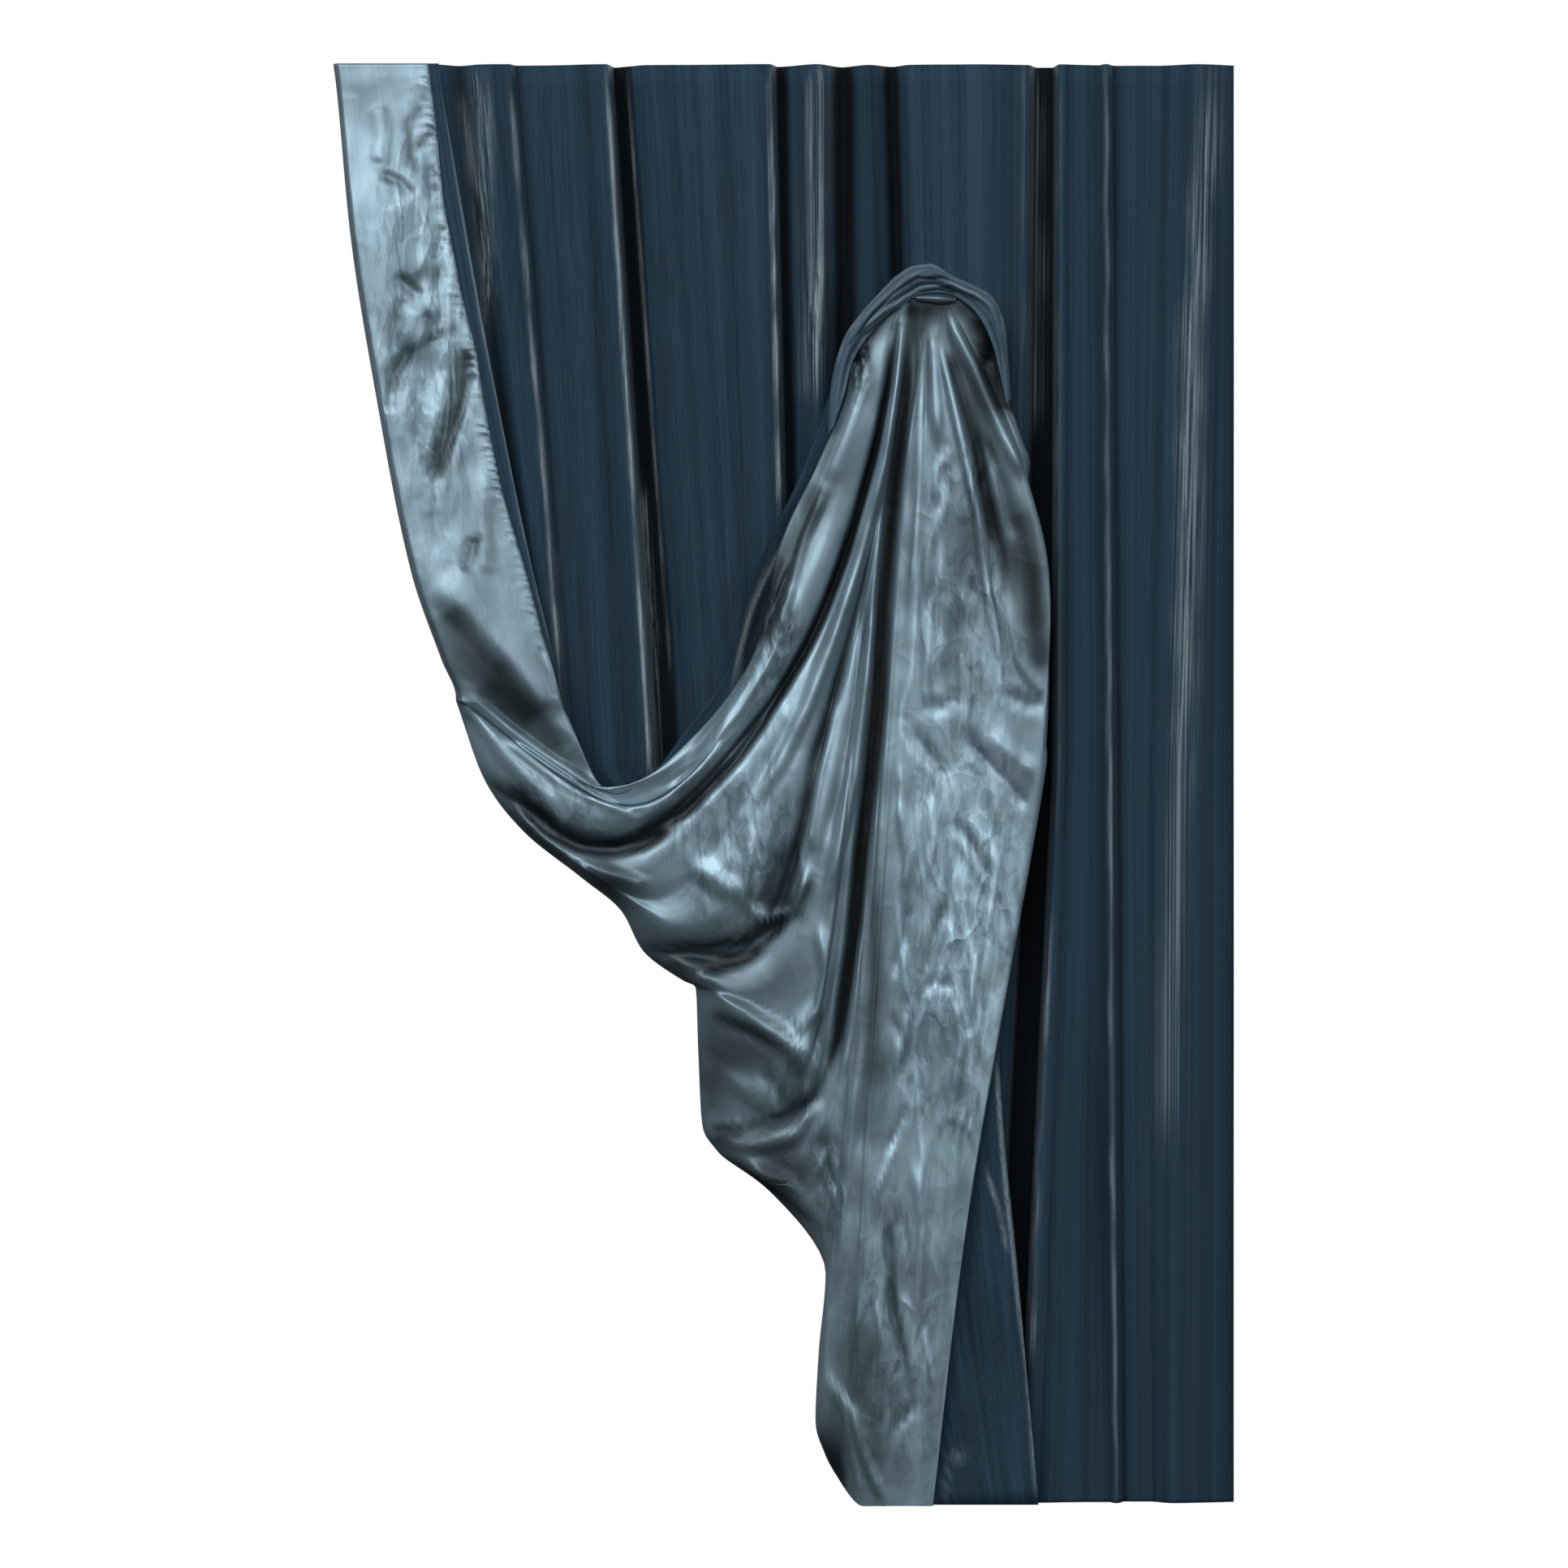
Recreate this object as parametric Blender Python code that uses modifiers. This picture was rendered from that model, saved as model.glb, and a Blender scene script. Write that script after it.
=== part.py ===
"""A velvet drape with a satin lining, its leading edge turned to the front and caught up in a tieback.

Metres, +Z up. The origin is the middle of the top edge, X runs to the right and the front faces -Y.
Tables give a place as x (to the right) and drop (below the top edge); forward is the distance
towards the front.
"""
import bpy
import numpy as np

# Driving sizes
DROP = 2.125                # height of cloth that hangs
VELVET_THICK = 0.0026
SATIN_THICK = 0.0014
TIE_THICK = 0.0030
BAND_TUCK = 0.024           # how far the velvet's fold lies inside the satin's fold, in the band
SWAG_TUCK = 0.044           # and in the swag
LINING_GAP = 0.007          # air between the turned velvet and its lining
SEWN_GAP = 0.0005           # air where two cloths are sewn face to face
SEAM_FORWARD = 0.010        # where the satin ends, round the fold
SWAG_DROP = 1.05            # depth at which the swag starts to hide the hanging folds
STAND = 0.024               # how far the turned velvet stands forward at the top
SWAG_STAND = 0.016          # how much further it stands in the swag
THROAT_SWELL = 0.030        # and how much further at the gathered throat
SWELL_REACH = 0.27
SEWN_DROP = 0.030           # the lining is sewn flat to the velvet down to here
THROAT_FORWARD = 0.074      # the gathered throat under the tieback lies flat here
THROAT_MIDDLE = (0.200, 0.420)
THROAT_LEFT = (0.160, 0.350)
THROAT_RIGHT = (0.252, 0.350)

# The turned cloth, a row for each section: where it folds, and where its leading edge is.
# fold x, fold drop, edge x, edge drop
SECTIONS = [
    (-0.665, 0.000, -0.518, 0.000),
    (-0.661, 0.030, -0.513, 0.030),
    (-0.640, 0.250, -0.480, 0.250),
    (-0.600, 0.500, -0.423, 0.500),
    (-0.550, 0.750, -0.368, 0.750),
    (-0.505, 0.880, -0.338, 0.880),
    (-0.484, 0.935, -0.323, 0.950),
    (-0.455, 1.000, -0.308, 1.010),
    (-0.440, 1.060, -0.290, 1.050),
    (-0.395, 1.120, -0.265, 1.075),
    (-0.350, 1.170, -0.235, 1.080),
    (-0.300, 1.200, -0.200, 1.055),
    (-0.240, 1.250, -0.150, 1.000),
    (-0.207, 1.310, -0.085, 0.900),
    (-0.130, 1.362, -0.035, 0.760),
    (-0.126, 1.470, 0.040, 0.590),
    (-0.120, 1.567, 0.090, 0.440),
    (-0.098, 1.605, 0.200, 0.345),
    (-0.020, 1.665, 0.320, 0.450),
    (0.062, 1.785, 0.368, 0.850),
    (0.052, 1.900, 0.335, 1.200),
    (0.047, 2.000, 0.318, 1.460),
    (0.062, 2.055, 0.346, 1.800),
    (0.115, 2.125, 0.375, 2.125),
]

# The hanging velvet, a row for each fold line: x at the top, x where the swag starts,
# x at the bottom, forward. A line with None is hidden by the swag lower down.
FOLDS = [
    (-0.600, -0.415, None, -0.004),
    (-0.515, -0.365, None, 0.006),
    (-0.482, -0.350, None, -0.018),
    (-0.450, -0.335, None, 0.008),
    (-0.408, -0.318, None, 0.013),
    (-0.393, -0.302, None, -0.014),
    (-0.330, -0.262, None, -0.006),
    (-0.262, -0.195, None, 0.014),
    (-0.246, -0.172, None, -0.040),
    (-0.222, -0.140, None, -0.004),
    (-0.120, -0.060, None, 0.006),
    (-0.022, 0.003, None, 0.014),
    (-0.004, 0.024, None, -0.032),
    (0.048, 0.056, None, 0.014),
    (0.086, 0.092, None, -0.030),
    (0.125, 0.150, None, 0.004),
    (0.160, 0.188, None, -0.020),
    (0.186, 0.212, None, 0.006),
    (0.280, 0.290, None, 0.012),
    (0.358, 0.366, 0.312, 0.002),
    (0.384, 0.390, 0.334, -0.046),
    (0.406, 0.404, 0.352, 0.006),
    (0.466, 0.472, 0.482, -0.012),
    (0.475, 0.482, 0.492, 0.013),
    (0.492, 0.500, 0.508, -0.010),
    (0.550, 0.532, 0.540, -0.014),
    (0.615, 0.582, 0.574, 0.015),
    (0.665, 0.665, 0.665, -0.010),
]

# The satin's folds, a row for each one that runs from the throat: x at 0.6 below the top,
# x at 0.9 below, where it turns, where it ends, and how far it stands out.
HIGH_DROP = 0.60
MID_DROP = 0.90
SATIN_FOLDS = [
    (0.055, -0.045, (-0.220, 1.095), (-0.484, 0.935), 0.030),
    (0.075, -0.010, (-0.235, 1.150), (-0.440, 1.060), 0.003),
    (0.090, 0.015, (-0.200, 1.185), (-0.385, 1.132), 0.020),
    (0.103, 0.040, (-0.150, 1.210), (-0.300, 1.200), 0.008),
    (0.115, 0.062, (-0.090, 1.240), (-0.240, 1.250), 0.022),
    (0.125, 0.080, (-0.030, 1.280), (-0.207, 1.310), 0.003),
    (0.134, 0.095, (0.000, 1.335), (-0.150, 1.352), 0.027),
    (0.142, 0.107, (0.035, 1.420), (-0.130, 1.364), 0.020),
    (0.149, 0.117, (0.030, 1.495), (-0.126, 1.460), 0.004),
    (0.155, 0.125, (0.035, 1.555), (-0.120, 1.567), 0.001),
    (0.160, 0.132, (0.040, 1.600), (-0.098, 1.605), 0.015),
    (0.165, 0.138, (0.060, 1.620), (-0.020, 1.665), 0.010),
    (0.169, 0.143, (0.082, 1.620), (0.062, 1.785), 0.001),
    (0.173, 0.148, (0.088, 1.640), (0.052, 1.900), 0.003),
    (0.178, 0.153, (0.097, 1.660), (0.047, 2.000), 0.012),
    (0.185, 0.160, (0.107, 1.680), (0.062, 2.055), 0.018),
    (0.195, 0.172, (0.120, 1.680), (0.115, 2.125), 0.016),
    (0.210, 0.200, (0.150, 1.680), (0.140, 2.125), 0.008),
    (0.235, 0.240, (0.185, 1.680), (0.160, 2.125), 0.020),
    (0.265, 0.285, (0.215, 1.680), (0.180, 2.125), 0.012),
    (0.300, 0.330, (0.240, 1.680), (0.200, 2.125), 0.020),
    (0.330, 0.365, (0.258, 1.680), (0.210, 2.125), 0.010),
    (0.352, 0.388, (0.272, 1.680), (0.218, 2.125), 0.014),
]
SWAG_POINTS = 30            # points along a fold from the throat to its end
BAND_POINTS = 12            # further points up the turned band
WRAP_SHARE = 0.06           # last share of a fold that rounds back to the seam
NEAR_END = 0.986            # share of a fold where the rounding is steepest

# The swag's upper edge, from the throat to the band, then the band's edge up to the top.
HEM_ROUTE = [(0.040, 0.60), (-0.065, 0.90), (-0.255, 1.082), (-0.323, 0.950)]
# Lift of the lines between the hem and the first fold, across the swag, the pocket and the band.
BAND_LIFTS = {"swag": (0.010, 0.014, 0.022, 0.028), "pocket": (0.008, 0.010, 0.004, 0.004),
              "band": (0.000, 0.006, 0.010, 0.010)}

# The tieback, a row for each section: outer edge x and drop, inner edge x and drop, crown, and
# how far its inner edge stands off the satin.
TIE_SECTIONS = [
    (0.064, 0.545, 0.070, 0.538, 0.000, 0.010),
    (0.067, 0.480, 0.090, 0.482, 0.004, 0.012),
    (0.080, 0.425, 0.114, 0.440, 0.008, 0.014),
    (0.104, 0.382, 0.136, 0.400, 0.012, 0.014),
    (0.142, 0.347, 0.158, 0.372, 0.015, 0.013),
    (0.178, 0.312, 0.186, 0.358, 0.018, 0.0002),
    (0.208, 0.300, 0.207, 0.359, 0.020, 0.0002),
    (0.240, 0.315, 0.230, 0.358, 0.018, 0.0002),
    (0.272, 0.332, 0.256, 0.370, 0.014, 0.013),
    (0.304, 0.350, 0.276, 0.394, 0.012, 0.014),
    (0.321, 0.395, 0.296, 0.424, 0.008, 0.014),
    (0.327, 0.450, 0.313, 0.458, 0.004, 0.012),
    (0.330, 0.500, 0.324, 0.502, 0.000, 0.010),
]
TIE_STEPS = 4               # spaces across the tieback
TIE_TUCK = 0.006            # how far its outer edge turns back


def smooth(share):
    """Eases from 0 to 1."""
    share = np.clip(share, 0.0, 1.0)
    return share * share * (3 - 2 * share)


def backing(x, drop):
    """How far forward the turned velvet stands: it swells towards the gathered throat."""
    away = (x - THROAT_MIDDLE[0]) ** 2 + (drop - THROAT_MIDDLE[1]) ** 2
    near = np.exp(-away / SWELL_REACH ** 2)
    return STAND + SWAG_STAND * smooth((drop - SEWN_DROP) / SWAG_DROP) + THROAT_SWELL * near


def curve_through(points, count):
    """Points along a smooth curve through the given ones, even but for one close to the end."""
    points = np.array(points, float)
    ends = np.vstack([2 * points[0] - points[1], points, 2 * points[-1] - points[-2]])
    fine = []
    for a, b, c, d in zip(ends, ends[1:], ends[2:], ends[3:]):
        for t in np.linspace(0, 1, 24, endpoint=False):
            fine.append(0.5 * (2 * b + (c - a) * t + (2 * a - 5 * b + 4 * c - d) * t ** 2
                               + (3 * b - a - 3 * c + d) * t ** 3))
    fine = np.array(fine + [points[-1]])
    along = np.concatenate([[0], np.cumsum(np.linalg.norm(np.diff(fine, axis=0), axis=1))])
    wanted = shares(count) * along[-1]
    return np.array([np.interp(wanted, along, fine[:, k]) for k in range(2)]).T


def shares(count):
    """Shares of a line's length, from 0 to 1, with one more close to the end for the rounded fold."""
    even = np.linspace(0, 1, count - 1)
    return np.concatenate([even[:-1], [NEAR_END, 1.0]])


def sheet(name, grids, thickness, material, collection):
    """One cloth from grids of places, whose equal corners are shared, thickened to a solid."""
    places = []
    index = {}
    faces = []
    for grid in grids:
        rows = []
        for line in grid:
            row = []
            for x, forward, drop in line:
                key = (round(float(x), 6), round(float(forward), 6), round(float(drop), 6))
                if key not in index:
                    index[key] = len(places)
                    places.append((x, -forward, -drop))
                row.append(index[key])
            rows.append(row)
        for upper, lower in zip(rows, rows[1:]):
            for k in range(len(upper) - 1):
                corners = [upper[k], lower[k], lower[k + 1], upper[k + 1]]
                corners = [c for n, c in enumerate(corners) if c not in corners[:n]]
                if len(corners) > 2:
                    faces.append(corners)
    mesh = bpy.data.meshes.new(name)
    mesh.from_pydata(places, [], faces)
    mesh.validate()
    mesh.shade_smooth()
    cloth = bpy.data.objects.new(name, mesh)
    cloth.data.materials.append(material)
    collection.objects.link(cloth)
    solid = cloth.modifiers.new("Thickness", "SOLIDIFY")
    solid.thickness = thickness
    solid.offset = 0.0
    return cloth


def finish(name, colour, roughness, sheen):
    """A cloth's material."""
    material = bpy.data.materials.new(name)
    material.use_nodes = True
    shader = material.node_tree.nodes["Principled BSDF"]
    shader.inputs["Base Color"].default_value = (*colour, 1.0)
    shader.inputs["Roughness"].default_value = roughness
    shader.inputs["Metallic"].default_value = 0.0
    shader.inputs["Sheen Weight"].default_value = sheen
    return material


def hanging_lines(drop, fold_x):
    """The x and forward of each hanging fold line at one drop, from left to right."""
    above = np.array([top + (low - top) * drop / SWAG_DROP for top, low, _, _ in FOLDS])
    if drop <= SWAG_DROP:
        places = above
        squeeze = np.ones(len(FOLDS))
    else:
        down = (drop - SWAG_DROP) / (DROP - SWAG_DROP)
        low = np.array([row[1] for row in FOLDS])
        shown = [k for k, row in enumerate(FOLDS) if row[2] is not None]
        places = low.copy()
        for k in shown:
            places[k] = low[k] + (FOLDS[k][2] - low[k]) * down
        first = shown[0]
        swag_fold = np.interp(SWAG_DROP, [s[1] for s in SECTIONS], [s[0] for s in SECTIONS])
        share = (low[:first] - swag_fold) / (low[first] - swag_fold)
        places[:first] = fold_x + share * (places[first] - fold_x)
        squeeze = np.ones(len(FOLDS))
        squeeze[:first] = (places[first] - fold_x) / (low[first] - swag_fold)
    return places, squeeze * np.array([row[3] for row in FOLDS])


def velvet_rows():
    """Each section of the velvet: from the right edge, round the fold and back to the leading edge."""
    rows = []
    for fold_x, fold_drop, edge_x, edge_drop in SECTIONS:
        tuck = BAND_TUCK + (SWAG_TUCK - BAND_TUCK) * smooth((fold_drop - 0.9) / 0.3)
        inner = fold_x + tuck
        xs, forwards = hanging_lines(fold_drop, inner)
        row = []
        for k in range(len(xs) - 1, 0, -1):
            row.append((xs[k], forwards[k], fold_drop))
            if FOLDS[k][0] - FOLDS[k - 1][0] > 0.04:
                middle = (xs[k] + xs[k - 1]) / 2
                row.append((middle, forwards[k] * 0.6 + forwards[k - 1] * 0.4, fold_drop))
        row.append((max(xs[0], inner + 0.014), 0.0, fold_drop))
        stand = backing(inner, fold_drop)
        row.append((inner + 0.005, 0.002, fold_drop))
        row.append((inner, stand * 0.5, fold_drop))
        row.append((inner + 0.005, stand - 0.002, fold_drop))
        for share in (0.12, 0.3, 0.48, 0.66, 0.84, 1.0):
            x = inner + (edge_x - inner) * share
            drop = fold_drop + (edge_drop - fold_drop) * share
            row.append((x, backing(x, drop), drop))
        rows.append(row)
    return rows


def satin_place(x, drop, lift, along):
    """A point of the satin: flat in the throat, in front of the velvet, rounded back at its end."""
    front = backing(x, drop) + LINING_GAP + lift
    front = THROAT_FORWARD + (front - THROAT_FORWARD) * smooth((along - 0.015) / 0.10)
    near_end = np.clip((1.0 - along) / WRAP_SHARE, 0.0, 1.0)
    front = SEAM_FORWARD + (front - SEAM_FORWARD) * np.sqrt(1 - (1 - near_end) ** 2)
    return (x, front, drop)


def satin_grids():
    """The satin as two grids that share the first fold: the swag with its tail, and the band."""
    left = np.array(THROAT_LEFT)
    right = np.array(THROAT_RIGHT)
    last = len(SATIN_FOLDS) - 1
    paths = []
    for k, (high_x, mid_x, turn, end, lift) in enumerate(SATIN_FOLDS):
        start = left + (right - left) * (k + 1) / (last + 1)
        neck = start + np.array([0.0, 0.022])
        route = [start, neck, (high_x, HIGH_DROP), (mid_x, MID_DROP), turn, end]
        paths.append((curve_through(route, SWAG_POINTS), lift))
    swag = []
    for k, (path, lift) in enumerate(paths):
        swag.append([(x, drop, lift) for x, drop in path])
        if k < last:
            following, next_lift = paths[k + 1]
            rounded = min(lift, next_lift) + 0.68 * abs(lift - next_lift)
            swag.append([(x, drop, rounded) for x, drop in (path + following) / 2])
    steps = shares(SWAG_POINTS)
    tail_from = 2 * 16
    grid = []
    for k, line in enumerate(swag):
        wraps = steps if k < tail_from else steps * (1 - WRAP_SHARE)
        grid.append([satin_place(x, drop, lift * smooth(s / 0.3), along)
                     for (x, drop, lift), s, along in zip(line, steps, wraps)])
    return grid, band_grid(grid[0], paths[0][0])


def band_grid(first_fold, first_path):
    """The turned band: from the hem to the swag's first fold, and up to the top edge."""
    hem = curve_through([THROAT_LEFT, (THROAT_LEFT[0] - 0.004, 0.372)] + HEM_ROUTE, SWAG_POINTS)
    above = [s for s in SECTIONS if s[1] <= HEM_ROUTE[-1][1]][::-1]
    folds = [tuple(first_path[-1])] + [(s[0], s[1]) for s in above if s[1] < first_path[-1][1]]
    edges = [HEM_ROUTE[-1]] + [(s[2], s[3]) for s in above if s[3] < HEM_ROUTE[-1][1]]
    fold_line = spaced_by_drop(folds)
    edge_line = spaced_by_drop(edges)
    lines = []
    for n, share in enumerate((0.0, 0.3, 0.6, 0.85)):
        line = []
        for j, s in enumerate(shares(SWAG_POINTS)):
            x, drop = hem[j] + (first_path[j] - hem[j]) * share
            pocket = smooth((s - 0.60) / 0.10)
            lift = BAND_LIFTS["swag"][n] * (1 - pocket) + BAND_LIFTS["pocket"][n] * pocket
            line.append(satin_place(x, drop, lift * smooth(s / 0.3), s * (1 - WRAP_SHARE)))
        for edge, fold in zip(edge_line, fold_line):
            x, drop = edge + (fold - edge) * share
            sewn = smooth((drop - SEWN_DROP) / 0.25)
            lift = BAND_LIFTS["band"][n] * sewn
            flat = STAND + (VELVET_THICK + SATIN_THICK) / 2 + SEWN_GAP
            forward = flat + (backing(x, drop) + LINING_GAP + lift - flat) * sewn
            line.append((x, forward, drop))
        lines.append(line)
    lines.append(first_fold + [(x, SEAM_FORWARD, drop) for x, drop in fold_line])
    return lines


def spaced_by_drop(points):
    """Places on a line up the band at even drops, with the sewn strip at its top."""
    points = np.array(points, float)
    drops = np.concatenate([np.linspace(points[0][1], SEWN_DROP, BAND_POINTS)[1:], [0.0]])
    return np.array([np.interp(drops, points[::-1, 1], points[::-1, 0]), drops]).T


def tie_rows():
    """The tieback: a band folded over the throat, its lower edge flat against the satin."""
    flat = THROAT_FORWARD + (SATIN_THICK + TIE_THICK) / 2 + SEWN_GAP
    rows = []
    for outer_x, outer_drop, inner_x, inner_drop, crown, stand in TIE_SECTIONS:
        row = []
        for share in np.linspace(0, 1, TIE_STEPS + 1):
            x = outer_x + (inner_x - outer_x) * share
            drop = outer_drop + (inner_drop - outer_drop) * share
            held = min(share / 0.75, 1.0)
            forward = flat + stand + crown * np.sin(np.pi * held) - TIE_TUCK * (1 - held)
            row.append((x, forward, drop))
        rows.append(row)
    return rows


def main():
    for old in list(bpy.data.objects):
        bpy.data.objects.remove(old)
    drape = bpy.data.collections.new("velvet_drape")
    bpy.context.scene.collection.children.link(drape)
    velvet = finish("velvet", (0.018, 0.045, 0.075), 0.85, 0.6)
    satin = finish("satin", (0.15, 0.24, 0.29), 0.30, 0.1)
    tie = finish("tie_velvet", (0.022, 0.050, 0.080), 0.85, 0.6)
    sheet("velvet_panel", [velvet_rows()], VELVET_THICK, velvet, drape)
    swag, band = satin_grids()
    sheet("satin_lining", [swag, band], SATIN_THICK, satin, drape)
    sheet("tieback", [tie_rows()], TIE_THICK, tie, drape)


main()
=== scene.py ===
# %% [markdown]
# # A velvet drape with its satin lining turned to the front
#
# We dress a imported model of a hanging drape: deep blue velvet in pleats, whose left edge is folded to
# the front so that its satin lining shows, caught up under a velvet tieback and left to fall as a tail.
# Cloth can be made by simulation or shaped by hand. Here the folds of one real drape are wanted, each in
# its own place, and a simulation would choose others, so every sheet is a fine grid of points laid along
# its folds. Small creases are drawn on it as lines, and the weave and pile come from the shaders.

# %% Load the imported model
import math

import bpy
import numpy as np
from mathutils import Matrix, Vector, noise


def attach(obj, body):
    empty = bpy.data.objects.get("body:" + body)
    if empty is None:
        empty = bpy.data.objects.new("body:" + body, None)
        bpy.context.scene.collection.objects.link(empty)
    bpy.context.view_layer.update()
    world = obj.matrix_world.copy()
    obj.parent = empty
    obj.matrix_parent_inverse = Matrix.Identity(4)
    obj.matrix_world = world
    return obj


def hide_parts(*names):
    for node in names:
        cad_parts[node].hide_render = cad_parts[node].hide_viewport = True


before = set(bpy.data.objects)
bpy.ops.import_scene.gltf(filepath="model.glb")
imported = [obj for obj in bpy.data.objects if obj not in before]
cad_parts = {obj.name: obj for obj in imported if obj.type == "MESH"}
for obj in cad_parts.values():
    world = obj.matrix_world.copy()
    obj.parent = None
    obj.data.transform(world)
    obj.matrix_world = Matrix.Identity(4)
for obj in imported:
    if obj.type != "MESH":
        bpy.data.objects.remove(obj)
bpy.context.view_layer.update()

print("nodes of the packed model:", sorted(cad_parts))

# %% [markdown]
# ## The camera
#
# The drape was seen straight on, from far away, so lines that are level stay level. A long lens from
# twelve metres gives nearly no perspective. The picture is square, and its side and its middle are
# sizes on the drape's own plane.

# %% Camera straight on
PICTURE_SIDE = 2.318        # metres across the whole picture, on the drape
PICTURE_MIDDLE = -1.063     # height of the picture's middle
CAMERA_AWAY = 12.0

camera_lens = bpy.data.cameras.new("camera")
SENSOR = 36.0               # width of the camera's sensor in millimetres
camera_lens.sensor_width = SENSOR
camera_lens.lens = SENSOR * CAMERA_AWAY / PICTURE_SIDE
camera = bpy.data.objects.new("camera", camera_lens)
camera.location = (0.0, -CAMERA_AWAY, PICTURE_MIDDLE)
camera.rotation_euler = (math.pi / 2, 0.0, 0.0)
bpy.context.scene.collection.objects.link(camera)
bpy.context.scene.camera = camera
print("lens", round(camera_lens.lens, 1), "mm at", CAMERA_AWAY, "m")

# %% [markdown]
# ## Light and floor
#
# Satin shows its folds only by what it mirrors. One large soft lamp at the upper left is the bright
# thing that it mirrors, a long lamp on the right gives the folds their second edge of light, and the
# rest of the room is dim. The world is plain white where the camera sees it and dim for the cloth.

# %% Lamps
def soft_lamp(name, place, aim, width, height, power):
    """A rectangular lamp at place, turned towards aim."""
    light = bpy.data.lights.new(name, "AREA")
    light.shape = "RECTANGLE"
    light.size = width
    light.size_y = height
    light.energy = power
    lamp = bpy.data.objects.new(name, light)
    lamp.location = place
    lamp.rotation_euler = (Vector(aim) - Vector(place)).to_track_quat("-Z", "Y").to_euler()
    lamp.visible_camera = False
    bpy.context.scene.collection.objects.link(lamp)
    return lamp


LAMPS = [
    # name, place, aim, width, height, power
    ("key_lamp", (-2.3, -6.0, 2.6), (0.0, 0.0, -1.0), 4.6, 3.8, 335.0),
    ("side_lamp", (4.4, -4.2, 0.6), (0.1, 0.0, -1.1), 1.2, 3.4, 62.0),
    ("front_lamp", (1.0, -8.0, 1.2), (0.0, 0.0, -1.0), 3.4, 2.4, 122.0),
    ("back_lamp", (0.6, 4.0, 1.2), (0.0, 0.0, -1.0), 3.0, 2.0, 120.0),
]
for row in LAMPS:
    soft_lamp(*row)
print(len(LAMPS), "lamps")

# %% The room round it
bpy.context.scene.view_settings.view_transform = "Standard"
world = bpy.data.worlds.new("studio")
bpy.context.scene.world = world
world.use_nodes = True
world_nodes = world.node_tree
for old in list(world_nodes.nodes):
    world_nodes.nodes.remove(old)
seen = world_nodes.nodes.new("ShaderNodeBackground")
seen.inputs["Color"].default_value = (1.0, 1.0, 1.0, 1.0)
seen.inputs["Strength"].default_value = 1.0
dim = world_nodes.nodes.new("ShaderNodeBackground")
dim.inputs["Strength"].default_value = 0.60
direction = world_nodes.nodes.new("ShaderNodeTexCoord")
height_of = world_nodes.nodes.new("ShaderNodeSeparateXYZ")
room = world_nodes.nodes.new("ShaderNodeValToRGB")
room.color_ramp.elements[0].position = 0.0
room.color_ramp.elements[0].color = (0.02, 0.025, 0.03, 1.0)
room.color_ramp.elements[1].position = 0.75
room.color_ramp.elements[1].color = (0.60, 0.64, 0.68, 1.0)
upright = world_nodes.nodes.new("ShaderNodeMapRange")
upright.inputs["From Min"].default_value = -0.5
upright.inputs["From Max"].default_value = 1.0
world_nodes.links.new(direction.outputs["Generated"], height_of.inputs[0])
world_nodes.links.new(height_of.outputs["Z"], upright.inputs["Value"])
world_nodes.links.new(upright.outputs[0], room.inputs["Fac"])
world_nodes.links.new(room.outputs["Color"], dim.inputs["Color"])
ray = world_nodes.nodes.new("ShaderNodeLightPath")
choose = world_nodes.nodes.new("ShaderNodeMixShader")
world_out = world_nodes.nodes.new("ShaderNodeOutputWorld")
world_nodes.links.new(ray.outputs["Is Camera Ray"], choose.inputs["Fac"])
world_nodes.links.new(dim.outputs[0], choose.inputs[1])
world_nodes.links.new(seen.outputs[0], choose.inputs[2])
world_nodes.links.new(choose.outputs[0], world_out.inputs["Surface"])
print("the room has", len(world_nodes.nodes), "nodes")

# %% Floor
FLOOR_HEIGHT = -2.62        # well under the hem, below the picture's edge
FLOOR_SIDE = 7.0
FLOOR_FRONT = -9.0
FLOOR_BACK = 3.4            # how far the floor runs on behind the drape, out of the picture
floor_mesh = bpy.data.meshes.new("floor")
floor_mesh.from_pydata([(-FLOOR_SIDE, FLOOR_FRONT, FLOOR_HEIGHT), (FLOOR_SIDE, FLOOR_FRONT, FLOOR_HEIGHT),
                        (FLOOR_SIDE, FLOOR_BACK, FLOOR_HEIGHT), (-FLOOR_SIDE, FLOOR_BACK, FLOOR_HEIGHT)],
                       [], [(0, 1, 2, 3)])
floor = bpy.data.objects.new("floor", floor_mesh)
bpy.context.scene.collection.objects.link(floor)
floor_paint = bpy.data.materials.new("pale_floor")
floor_paint.use_nodes = True
floor_shader = floor_paint.node_tree.nodes["Principled BSDF"]
floor_shader.inputs["Base Color"].default_value = (0.80, 0.80, 0.79, 1.0)
floor_shader.inputs["Roughness"].default_value = 0.85
floor_mesh.materials.append(floor_paint)
floor.visible_glossy = False
floor.visible_diffuse = False
print("floor at", FLOOR_HEIGHT)

# %% [markdown]
# ## Tools for laying out cloth
#
# A grid of cloth is made in two steps: a few lines that follow the main folds, then many lines between
# them. Between folds the cloth must not swing past the values that were given, so the curve used is one
# that keeps its direction between two given points.

# %% Smooth values between given ones
def smooth(share):
    """Eases from 0 to 1."""
    share = np.clip(share, 0.0, 1.0)
    return share * share * (3 - 2 * share)


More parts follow.
